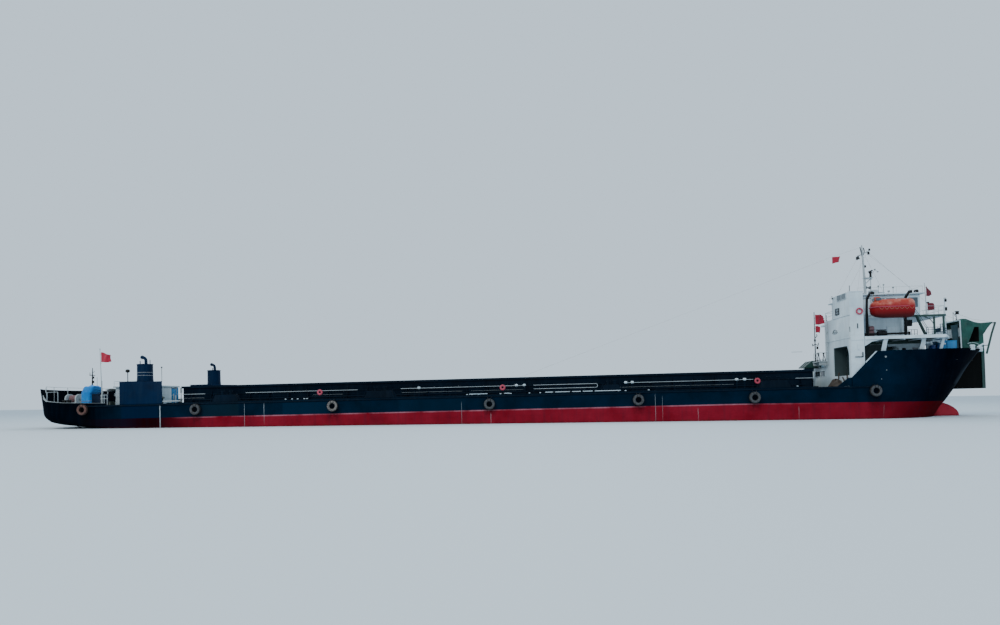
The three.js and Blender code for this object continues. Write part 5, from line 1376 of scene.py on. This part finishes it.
roofRails += [revolve([(0.05, 0), (0.05, 0.7), (0.14, 0.72), (0.14, 0.8), (0.04, 0.9)], (x, y, roofTop),
    "z", 12) for x, y in ((42.6, 1.2), (38.6, 1))]
makePiece("roof_rails", roofRails, "rail")
whips = []
for x, z, size in ((40.26, 15.69, 0.09), (40.8, 15.83, 0.08), (41.77, 15.52, 0.1), (41.31, 15.12, 0.12)):
    whips += [tube([(x, -3, roofTop), (x, -3, z)], 0.02, 6), drum(size, -0.08, 0.08, (x, -3, z + 0.05))]
makePiece("roof_aerials", whips, "grey")
lamps = [revolve([(0.04, 0), (0.2, 0.02), (0.24, 0.3), (0.2, 0.36), (0.04, 0.34)], (43.25, y, 14.85), "x",
    18) for y in (-4.4, 1.2)]
lamps += bars(uprights([43.4], (-4.4, 1.2), roofTop, 14.8), 0.04)
makePiece("search_lights", lamps, "black")

# Signal mast: tapered pole, yard, forked top, frame low down, ladder rungs and the stays
mastLine = np.array([(40.15, 0, 15.13), (40.11, 0, 16.7), (40.04, 0, 18.5), (39.93, 0, 20.8)])
mastParts = [tube(mastLine, 0.15, 12, (0, 1, 0), [1, 0.9, 0.7, 0.4]),
    *boxes([(39.92, 40.02, -1.65, 1.65, 19.76, 19.84)])]
mastParts += boxes([(40, 40.95, -0.3, 0.3, 17.08, 17.16), (39.6, 40.55, -0.35, 0.35, 15.1, 15.2)])
mastParts += bars([(40.76, 0, 15.13, 40.76, 0, 17.1), (40.1, 0, 16.4, 40.85, 0, 17.1),
    (40.1, -0.25, 17.25, 40.1, 0.25, 17.25)], 0.045)
mastParts += bars(crossbars(40.1, -0.14, 40.1, 0.14, spaced(15.5, 19.4, 0.36)), 0.018)
makePiece("signal_mast", mastParts, "rail", replaces=["mast"])
mastDark = bars([(39.94, 0, 19.4, 40.2, 0, 20.1), (40.2, 0, 20.1, 40.1, 0, 20.5),
    (39.96, 0, 19.5, 39.74, 0, 20.6), (39.97, 0, 18.9, 39.96, 0, 19.8)], 0.05)
mastDark += [drum(0.12, 0, 0.3, (40, y, 19.45)) for y in (-1.5, 1.5)]
mastDark += [revolve([(0.03, 0.42), (0.2, 0), (0.03, -0.02)], (39.25, -0.6, 19.15), "z", 12),
    drum(0.1, 0, 0.22, (40.1, -1.5, 19.87))]
mastDark += bars([(39.25, -0.6, 19.5, 39.98, 0, 19.8)], 0.02)
mastDark += [revolve([(0.05, 0), (0.07, 0.3), (0.2, 0.55), (0.19, 0.56), (0.03, 0.3)], (40.2, 0.1, 16.05),
    "x", 14)]
mastDark += [drum(0.13, 0, 0.24, (x, 0, z)) for x, z in ((40.25, 15.95), (40.2, 18.3))]
mastDark += bars([(40.08, 0, 18.4, 40.3, 0, 18.4)], 0.03)
makePiece("mast_lamps_and_horn", mastDark, "black")
halyardTop, halyardFoot = np.array([39.95, -1.3, 19.78]), np.array([35, -3.8, 12.2])
share = np.linspace(0, 1, 12)[:, None]
sag = np.array([0, 0, -0.25]) * (4 * share * (1 - share))
halyard = halyardTop + (halyardFoot - halyardTop) * share + sag
stays = [tube([(39.94, 0, 20.3), (x, y, 14.66)], 0.009, 5) for y in (-4.9, 1.7) for x in (37.3, 43.3)]
stays += [tube([(39.92, 0, 20.6), (49, 0, 11.95)], 0.009, 5), tube(halyard, 0.008, 5)]
makePiece("mast_stays", stays, "zinc", smooth=60)
scanner = [revolve([(0.13, 17.2), (0.13, 17.26), (0.11, 17.3), (0.11, 17.6), (0.15, 17.66), (0.15, 17.78)],
    (40.76, 0, 0), "z", 20)]
scanner += boxes([(40.68, 40.84, -0.5, 0.5, 17.78, 17.94)], 0.05)
makePiece("radar_bar_scanner", scanner, "black", "radar_body", replaces=["radar_scanner"])
aerial = bars([(40.9, 0, 17.1, 41, 0, 17.9), (41, 0, 17.8, 41.3, 0, 18.15),
    (41.3, 0, 18.15, 41.6, 0, 17.92)], 0.02)
aerial += [drum(0.1, -0.06, 0.06, (41.28, 0, 18.2)), drum(0.09, -0.05, 0.05, (41.6, 0, 17.92))]
aerial = [(p + [0.35, 0.9, 0], q, n) for p, q, n in aerial]
aerial += bars([(40.1, 0, 17, 41.3, 0.9, 17.1)], 0.025)
makePiece("mast_aerial_arm", aerial, "grey")
print("mast made")


# Enclosed lifeboat: hull and canopy as one lofted shell, rubbing band, windows, grab lines and falls
boat = {"centre": (39.53, -7.5, 12.83), "half": 2.12, "beam": 0.84, "low": -0.95, "high": 0.96}
boatShare = np.concatenate([np.linspace(-1, -0.55, 14), np.linspace(-0.55, 0.8, 14)[1:],
    np.linspace(0.8, 1, 9)[1:]])[:, None]
boatTurn = around(48)[None]
fullness = np.where(boatShare < 0, np.clip(1 - np.abs(boatShare) ** 3.2, 0, 1) ** 0.5,
    np.clip(1 - np.abs(boatShare) ** 16, 0, 1) ** 0.6)
fullness = np.maximum(fullness, 0.03)
upright = np.sin(boatTurn)
power = np.where(upright > 0, 0.72, 0.62)
ySection = np.sign(np.cos(boatTurn)) * np.abs(np.cos(boatTurn)) ** power
zSection = np.sign(upright) * np.abs(upright) ** np.where(upright > 0, 0.8, 0.95)
zSize = np.where(zSection > 0, boat["high"], -boat["low"])
boatPoints = np.stack([boat["centre"][0] + boat["half"] * boatShare + 0 * boatTurn,
    boat["centre"][1] + boat["beam"] * fullness * ySection,
    boat["centre"][2] + zSize * zSection * (0.25 + 0.75 * fullness) * np.minimum(1, fullness * 3)], -1)
boatParts = [surface(boatPoints, True, True)]
boatParts += boxes([(37.78, 38.42, -7.9, -7.1, 13.5, 14)], 0.12)
makePiece("lifeboat_shell", boatParts, "boat", "davits_body", 50, ["lifeboat"])
bandAngle = around(64)
bandX = np.sign(np.cos(bandAngle)) * np.abs(np.cos(bandAngle)) ** 0.55
bandY = np.sign(np.sin(bandAngle)) * np.abs(np.sin(bandAngle)) ** 0.5
bandOut = 0.845 * bandY * np.where(bandX < -0.6, 0.97, 1)
band = np.stack([39.54 + 2.08 * bandX, -7.5 + bandOut, np.full(64, 12.95)], -1)
makePiece("lifeboat_rubbing_band", [sweep(band, ring(0.045), loop=True)], "ringFoam", "davits_body")
boatTrim = boxes([(37.85, 38.35, -7.94, -7.9, 13.62, 13.88), (38.9, 39.6, -8.2, -8.12, 13.25, 13.5),
    (40.2, 40.8, -8.2, -8.12, 13.25, 13.5), (37.74, 37.78, -7.8, -7.2, 13.62, 13.88)])
makePiece("lifeboat_windows", boatTrim, "glass", "davits_body")
boatLines = []
for x0 in np.linspace(38, 40.9, 7):
    t = np.linspace(0, 1, 7)
    for y in (-8.37, -6.63):
        grabLine = np.stack([x0 + 0.4 * t, np.full(7, y), 12.9 - 0.22 * 4 * t * (1 - t)], -1)
        boatLines.append(tube(grabLine, 0.009, 5))
boatLines += [tube([(x, -7.62, z), (x, -7.62, 14.4)], 0.022, 6) for x, z in ((37.76, 13.5), (41.24, 13.72))]
makePiece("lifeboat_lines_and_falls", boatLines, "rope", "davits_body")
softened("lifeboat_davits", "black", 0.02, "davits_body")
blocks = [drum(0.13, x - 0.06, x + 0.06, (0, -7.62, 14.42), "x", 16) for x in (37.76, 41.24)]
blocks += [tube([(x, -7.62, 14.42), (x, -6.2, 13.95), (x, -6.1, 10.6)], 0.018, 5, (1, 0, 0))
    for x in (37.72, 41.28)]
blocks += boxes([(37.5, 37.82, -7.7, -7.5, 14.3, 14.5), (41.18, 41.5, -7.7, -7.5, 14.3, 14.5)], 0.03)
makePiece("davit_blocks_and_wires", blocks, "black", "davits_body")
softened("davit_feet", "black", 0.02)
print("lifeboat made")


# Foredeck: windlass with chains, bitts, fairleads, blue tank, barrels and a stowed tube
windlassParts = boxes([(46, 47.6, -1.68, 1.68, foredeckTop, 7.62), (46.2, 47.4, -1.6, -1.4, 7.6, 8),
    (46.2, 47.4, 1.4, 1.6, 7.6, 8)], 0.03)
cheekPlate = [(46.25, 7.6), (47.35, 7.6), (47.2, 8.3), (47, 8.65), (46.6, 8.65), (46.4, 8.3)]
windlassParts += [prism(cheekPlate, y - 0.1, y + 0.1) for y in (-0.8, 0.8)]
warpEnd = [(0.06, 0), (0.32, 0.02), (0.34, 0.08), (0.22, 0.2), (0.2, 0.4), (0.3, 0.62), (0.3, 0.66),
    (0.06, 0.68)]
windlassParts += [revolve(warpEnd, (46.8, y, 8.3), "y", 20) for y in (-2.08, 1.4)]
for low, high in ((-0.66, -0.16), (0.16, 0.66)):
    windlassParts += [drum(0.34, low, high, (46.8, 0, 8.3), "y", 20)]
windlassParts += [tube([(46.8, -2, 8.3), (46.8, 2, 8.3)], 0.11, 12)]
windlassParts += [drum(0.44, 1, 1.08, (46.8, 0, 8.3), "y", 24)]
windlassParts += boxes([(46, 46.5, -0.35, 0.35, 7.6, 8.2)], 0.05)
makePiece("anchor_windlass", windlassParts, "grey", replaces=["windlass"])
linkAngle = around(10)
links = []
for y in (-0.42, 0.42):
    for i in range(15):
        x, z = 47.1 + i * 0.12, 8.35 - 0.045 * i - 0.012 * i * (14 - i) / 7
        flat, across = np.cos(linkAngle) * 0.085, np.sin(linkAngle) * 0.05
        ringPoints = np.stack([x + flat, y + (across if i % 2 else 0 * across),
            z + (0 * across if i % 2 else across)], -1)
        links.append(sweep(ringPoints, ring(0.018, 5), loop=True))
makePiece("anchor_chains", links, "iron")
bittParts = []
for x, y in ((44.9, -7), (45.6, -6.7), (48.2, -3.9), (48.7, -3.6)):
    bittParts.append(revolve([(0.17, 0), (0.17, 0.5), (0.22, 0.54), (0.22, 0.62), (0.05, 0.64)],
        (x, y, foredeckTop)))
bittParts += boxes([(44.6, 45.9, -7.2, -6.5, 7.504, 7.56), (47.9, 49, -4.15, -3.35, 7.504, 7.56)])
leadProfile = [(0.1, 0), (0.16, 0.05), (0.15, 0.1), (0.15, 0.38), (0.17, 0.42), (0.16, 0.48), (0.1, 0.54),
    (0.02, 0.56)]
leads = [revolve(leadProfile, (x + s, y + 0.7 * s, 8.5)) for x, y in ((47.95, -6.03), (50.76, -2.36))
    for s in (-0.15, 0.15)]
makePiece("bitts_and_bases", bothSides(bittParts), "black")
makePiece("fairlead_rollers", bothSides(leads), "white")
softened("blue_tank", "blue", 0.05)
tank = boxes([(45.03, 46.67, -5.62, -3.98, 9.47, 9.56), (45, 46.7, -5.64, -5.6, 8.4, 8.48),
    (45.03, 45.1, -5.63, -5.6, 7.6, 9.5), (46.6, 46.67, -5.63, -5.6, 7.6, 9.5),
    (45.6, 46.1, -5, -4.5, 9.55, 9.62)], 0.015)
makePiece("tank_bands_and_hatch", tank, "blue")
barrelProfile = [(0.02, 0), (0.25, 0), (0.28, 0.04), (0.28, 0.42), (0.295, 0.46), (0.28, 0.5), (0.28, 0.92),
    (0.295, 0.96), (0.28, 1), (0.28, 1.36), (0.25, 1.42), (0.02, 1.43)]
barrelParts = [revolve(barrelProfile, (x, -6.9, 7.62), "z", 24) for x in (43.62, 44.25)]
makePiece("blue_barrels", barrelParts, "plastic", replaces=["barrels"])
caps = [revolve([(0.02, 0), (0.06, 0), (0.06, 0.04), (0.02, 0.045)], (x + 0.12, -6.8, 9.05), "z", 10)
    for x in (43.62, 44.25)]
caps += boxes([(43.3, 44.6, -7.28, -6.52, foredeckTop, 7.6)])
caps += [tube([(43.35, -7.35, 9.55), (43.9, -7.1, 9.45), (44.95, -6.7, 9.15)], 0.1, 10)]
caps += boxes([(43.4, 43.9, -6.4, -6, 7.51, 9.3), (44.4, 44.8, -6.3, -6, 7.51, 8.95)], 0.05)
makePiece("barrel_caps_and_lockers", caps, "white")
bowRail = bars([(x, -y, 7.5, x, -y, 9.55) for x, y in ((45.7, 5.6), (47.2, 5.2))], 0.025)
bowRail += [drum(0.13, 0, high, (46.98 + lean, -3, z)) for lean, z, high in ((0.08, 13.85, 0.3),
    (0.1, 12.9, 0.34))]
bowRail += boxes([(46.9, 47.15, -3.03, -2.97, 14.2, 14.26), (46.95, 47.25, -3.03, -2.97, 13.26, 13.3),
    (43.95, 44.22, -5.43, -5.37, 13.5, 13.62)], 0.01)
bowRail += bars([(48.84, -1, 11.95, 48.84, -1, 12.94), (48.84, -1, 12.9, 49.1, -1, 12.4),
    (49.2, -1, 12, 49.2, -1, 12.2), (46.93, -3, 12.25, 46.93, -3, 12.3)], 0.02)
makePiece("bow_posts", bothSides(bowRail), "black")
print("foredeck made")


# Conveyor gallery with side ribs, cover strips, return rollers and its hood over the hopper end
softened("conveyor_gallery", "white")
softened("gallery_hood", "green")


def galleryZ(x):
    # Top edge of the gallery above a station: the two straight reaches of the casing
    return np.interp(x, [34.9, 36.6, 50.3], [8.06, 8.4, 11.35])


ribs = []
for x in spaced(37.2, 50, 1.16):
    for y in (-0.74, 1.3):
        ribs.append(prism([(x - 0.03, galleryZ(x) - 0.95), (x + 0.03, galleryZ(x) - 0.94),
            (x + 0.03, galleryZ(x) + 0.03), (x - 0.03, galleryZ(x) + 0.02)], y, y + 0.04))
for y in (-0.68, 1.28):
    ribs.append(tube([(36.6, y, 8.42), (50.25, y, 11.36)], 0.035, 6))
makePiece("gallery_ribs", ribs, "rail")
rollers = [drum(0.07, -0.6, 1.2, (x, 0, galleryZ(x) - 1), "y", 10) for x in spaced(38, 49.6, 1.45)]
makePiece("return_rollers", rollers, "iron")
hoodRib = [(33.12, 7.35), (33.93, 8.04), (34.84, 8.07), (34.84, 8.12), (33.91, 8.09), (33.07, 7.38)]
hoodRibs = [prism(hoodRib, y - 0.04, y + 0.04) for y in (-0.66, 0.3, 1.26)]
makePiece("gallery_hood_ribs", hoodRibs, "green")
frameParts = [tube([(49.1, -1.95, 7.504), (49, -1.95, 11.95)], 0.07, 10, (0, 1, 0)),
    tube([(50.66, -1.95, 8.98), (51.36, -1.95, 9.36)], 0.1, 10),
    tube(curved([(49.72, -1.93, 9.42), (50.2, -1.95, 9.5), (50.66, -1.95, 9.4), (50.95, -1.95, 9.2)], 5),
    0.02, 6)]
frameParts += [drum(0.13, -0.03, 0, (49.1, -1.95, 7.54))]
frameParts = bothSides(frameParts) + [tube([(48.92, -1.95, 11.92), (48.92, 1.95, 11.92)], 0.05)]
makePiece("discharge_frame_posts", frameParts, "white", replaces=["discharge_frame"])
poles = [tube([(51.63, -1.95, 8.28), (52.22, -1.95, 10.44), (52.62, -1.95, 11.62)], 0.1, 10, (0, 1, 0))]
poles = bothSides(poles) + [tube([(52.61, -1.95, 11.58), (52.61, 1.95, 11.58)], 0.05),
    tube([(51.85, -1.95, 9.2), (51.85, 1.95, 9.2)], 0.04)]
makePiece("discharge_frame_poles", poles, "green")
softened("discharge_skirt", "rubber", 0.04)
makePiece("skirt_corner_bars", bothSides(boxes([(51.2, 51.46, -1.76, -1.67, 4.62, 8.9)])), "green")
# The head chute's black rubber also stands as painted shade behind the side hole of the hood
softened("head_chute", "rubber", 0.04)
softened("bow_light_mast", "white", 0.008)
for side in ("starboard", "port"):
    softened("engine_" + side, "iron", 0.05)
lamp = [tube([(49.12, -1, 11.95), (49.2, -1, 12.5), (49.05, -1, 12.75)], 0.03, 6)]
lamp += [drum(0.17, 0, 0.3, (49.27, -1, 12.68), "z", 14)]
lamp += boxes([(49, 49.5, -1.03, -0.97, 12.98, 13.04)], 0.01)
makePiece("discharge_work_light", lamp, "black")
wires = [tube([(48.84, y, 12.9), (48.95, y * 1.9, 11.95)], 0.01, 5) for y in (-1, 1)]
wires += [tube([(48.84, y, 12.9), (50.81, y, 12.1), (52.6, y * 1.9, 11.6)], 0.01, 5) for y in (-1, 1)]
makePiece("frame_wires", wires, "zinc", smooth=60)
print("discharge frame made")


# Tarpaulin over the discharge frame. Each column of the grid runs up one side, across the top and down the
# other; the columns lean with the edges of the side hole, and the cells inside the hole are left out.
hood = {"y": 1.79, "foot": 8.95, "hole": (9.6, 11.18), "top": [(48.11, 11.4), (48.8, 11.5), (49.05, 12.02),
    (49.29, 12.12), (49.74, 12.1), (50.55, 11.73), (51.16, 11.6), (52.5, 11.68)]}


def hoodSheet(name, aft, fore, columns, tone, seed, hole=None, replaces=(), roofed=True):
    # aft and fore are (z, x) rows of the two free edges; hole is the (z, x) rows of its aft and fore edges
    low, high = hood["hole"]
    levels = np.concatenate([np.linspace(8.37, hood["foot"], 5)[:-1], np.linspace(hood["foot"], low, 9),
        np.linspace(low, high, 21)[1:]])
    edges = [aft, *(hole or ()), fore]
    xRows = np.stack([np.interp(levels, [p[0] for p in e], [p[1] for p in e]) for e in edges], -1)
    topEdges = np.array([np.interp(13, [p[0] for p in e], [p[1] for p in e]) for e in edges])
    at = np.linspace(0, len(edges) - 1, columns)
    spread = np.array([np.interp(at, range(len(edges)), row) for row in xRows])
    topX = np.interp(at, range(len(edges)), topEdges)
    topZ = np.interp(topX, [p[0] for p in hood["top"]], [p[1] for p in hood["top"]])
    upper = np.linspace(0, 1, 9)[1:, None]
    x = np.concatenate([spread, spread[-1] + (topX - spread[-1]) * upper])
    z = np.concatenate([np.broadcast_to(levels[:, None], spread.shape), high + (topZ - high) * upper])
    # Hanging folds: the sides swing in and out by a few centimetres between the lashings
    pull = 0.035 + 0.03 * clothPoint(seed, x * 2.3, z * 0.8) / 2.2 + 0.012 * np.sin(x * 16 + z * 1.3)
    y = -hood["y"] + np.clip(pull, 0.005, 0.1)
    across = np.linspace(-1, 1, 25)[1:-1, None]
    roofY = across * -y[-1][None]
    sag = 0.1 * (1 - across ** 2) * (0.4 + 0.6 * np.sin(np.clip(topX - topX.min(), 0, 9) * 2.1) ** 2)
    roof = np.stack([np.broadcast_to(topX, roofY.shape), roofY, topZ - sag], -1)
    side = np.stack([x, y, z], -1)
    shapes = {name: np.concatenate([side, roof, side[::-1] * [1, -1, 1]])}
    if not roofed:
        shapes = {name + "_starboard": side, name + "_port": side * [1, -1, 1]}
    drop = np.zeros((len(shapes[min(shapes)]) - 1, columns - 1), bool)
    if hole:
        third = (columns - 1) // (len(edges) - 1)
        drop[12:32, third:2 * third] = True
    # Below the foot only the fore corner hangs on, down to the foot of the pole
    short = spread[0][:-1] < 51.3
    drop[:4, short] = True
    if roofed:
        drop[-4:, short] = True
    for label, points in shapes.items():
        makeSheet(label, points, tone,
            drop=drop, replaces=replaces)


hoodEdges = [(8.95, 49.2), (12.02, 49.08)], [(8.95, 51.5), (10.36, 51.46), (11.06, 51.95), (11.68, 52.48)]
hoodHole = [(9.6, 49.95), (11.18, 50.57)], [(9.6, 51.02), (11.18, 51.02)]
hoodSheet("tarpaulin_hood_cloth", *hoodEdges, 49, "green", 2, hoodHole, ["tarpaulin_hood"])
flapEdges = [(8.95, 48.42), (11.4, 48.14)], [(8.95, 48.93), (11.5, 48.88)]
hoodSheet("slate_flap_cloth", *flapEdges, 17, "slate", 5, roofed=False)


def flag(name, pole, top, size, seed, droop, narrow, node, fall=0.92, gathered=1, tone="flag"):
    # Waved cloth: a sine wave grows from the hoist to the fly, the top edge droops and the fly is gathered.
    # fall is how much of the hoist hangs open, gathered how much of the length is open at the top.
    u = np.linspace(0, 1, 40)[None]
    v = np.linspace(0, 1, 28)[:, None]
    wave = 0.11 * u ** 0.7 * np.sin(6.2 * u + 1.9 * v + seed) + 0.03 * u * np.sin(14 * u + 5 * v + 2 * seed)
    x = pole[0] + 0.93 * size[0] * u * (1 - 0.06 * np.sin(3 * v + seed)) * np.minimum(1, gathered + 1.6 * v)
    drop = droop * u ** 1.3 + fall * v * (1 - narrow * u ** 1.5) - 0.02 * np.sin(7 * u + seed)
    z = top - size[1] * drop
    points = np.stack([x, pole[1] + size[0] * wave, np.broadcast_to(z, x.shape)], -1)
    makeSheet(name, points, tone, replaces=node[:1] if node[0] else [])


bridgeStaff = [tube([(43.95, -5.4, 12.25), (43.8, -5.4, 15.6)], 0.05, 8, (0, 1, 0), [1, 0.6]),
    *boxes([(43.85, 44.05, -5.5, -5.3, 12.25, 12.33)], 0.01)]
makePiece("bridge_flagstaff_pole", bridgeStaff, "rail", replaces=["bridge_flagstaff"])
flag("stern_ensign", (-43.07, -8.3), 10.82, (1.15, 1.35), 0.4, 0.25, 0.35,
    ("stern_flag", "stern_flagstaff_pole"), 0.8)
flag("tower_upper_flag", (34.36, -0.85), 13.16, (0.98, 1.18), 2.1, 0.02, 0.1,
    ("tower_flag_upper", "tower_pole_and_lanterns"), 0.94, 0.75)
flag("tower_lower_flag", (34.36, -0.85), 11.93, (0.5, 0.85), 4, 0.12, 0.05,
    ("tower_flag_lower", "tower_pole_and_lanterns"), 0.85)
flag("bridge_upper_flag", (43.95, -5.4), 15.28, (0.55, 1.15), 1.2, 0.12, 0.25,
    ("bridge_flag_upper", "bridge_flagstaff_pole"), 0.95, 0.12, "darkerFlag")
flag("bridge_lower_flag", (44.02, -5.4), 13.52, (0.7, 0.88), 3.1, 0.05, 0.15,
    ("bridge_flag_lower", "bridge_flagstaff_pole"), tone="darkerFlag")
flag("halyard_flag", (36.33, -1), 19.42, (0.85, 0.85), 5.2, -0.05, 0.2, (None, "long_stay_wire"), 0.85)
ties = boxes([(x, x + 0.1, y - 0.02, y + 0.02, z, z + 0.05) for x, y, z in ((-43.15, -8.3, 10.6),
    (-43.13, -8.3, 9.6), (34.28, -0.85, 12.75), (34.28, -0.85, 12.1), (34.28, -0.85, 11.6),
    (43.84, -5.4, 15.1), (43.87, -5.4, 14.3), (43.92, -5.4, 13.4), (43.93, -5.4, 12.8))], 0.008)
makePiece("flag_ties", ties, "rope")
makePiece("long_stay_wire", [tube([(39.93, 0, 20.6), (36.33, -1, 19.44), (2, -6.7, 6.97)], 0.007, 5)],
          "zinc", smooth=60)
print("sheets made")


# Studio: pale floor at the waterline with a hole inside the hull, and soft light
def makeFloor():
    # A flat ring between two rectangles, tilted by the trim: z = waterline - trim * x
    inner = np.array([[-33.5, -7.4], [30.2, -7.4], [30.2, 7.4], [-33.5, 7.4]])
    outer = np.array([[-900, -900], [900, -900], [900, 900], [-900, 900]])
    flat = np.concatenate([inner, outer])
    points = np.column_stack([flat, ship["waterline"] - ship["trim"] * flat[:, 0]])
    quads = [[i, i + 4, (i + 1) % 4 + 4, (i + 1) % 4] for i in range(4)]
    mesh = bpy.data.meshes.new("studio_floor")
    mesh.from_pydata([tuple(p) for p in toModel(points)], [], quads)
    material, tree = newMaterial("pale_studio_floor")
    mesh.materials.append(shaded(material, tree, {"Base Color": srgb(studio["floor"]), "Roughness": 0.75}))
    floor = bpy.data.objects.new("studio_floor", mesh)
    bpy.context.scene.collection.objects.link(floor)


def areaLight(name, place, target, size, power, colour):
    data = bpy.data.lights.new(name, "AREA")
    data.shape = "DISK"
    data.size = size
    data.energy = power
    data.color = srgb(colour)[:3]
    item = bpy.data.objects.new(name, data)
    item.location = place
    item.rotation_euler = (Vector(target) - Vector(place)).to_track_quat("-Z", "Y").to_euler()
    bpy.context.scene.collection.objects.link(item)


studio = {"floor": "#c6d2d9", "sky": "#c9dceb", "skyStrength": 1.25, "key": 1500, "fill": 250, "back": 500}
world = bpy.data.worlds.new("studio_sky")
world.use_nodes = True
world.node_tree.nodes["Background"].inputs[0].default_value = srgb(studio["sky"])
world.node_tree.nodes["Background"].inputs[1].default_value = studio["skyStrength"]
bpy.context.scene.world = world
areaLight("key_light", (-7, -13, 12), (0, 0, 0.5), 9, studio["key"], "#fff6ea")
areaLight("fill_light", (9, -9, 7), (3, 0, 0.8), 7, studio["fill"], "#e8f1ff")
areaLight("back_light", (0, 12, 10), (0, 0, 0.5), 9, studio["back"], "#eef4ff")
placeCamera()
makeFloor()
print("stage set")
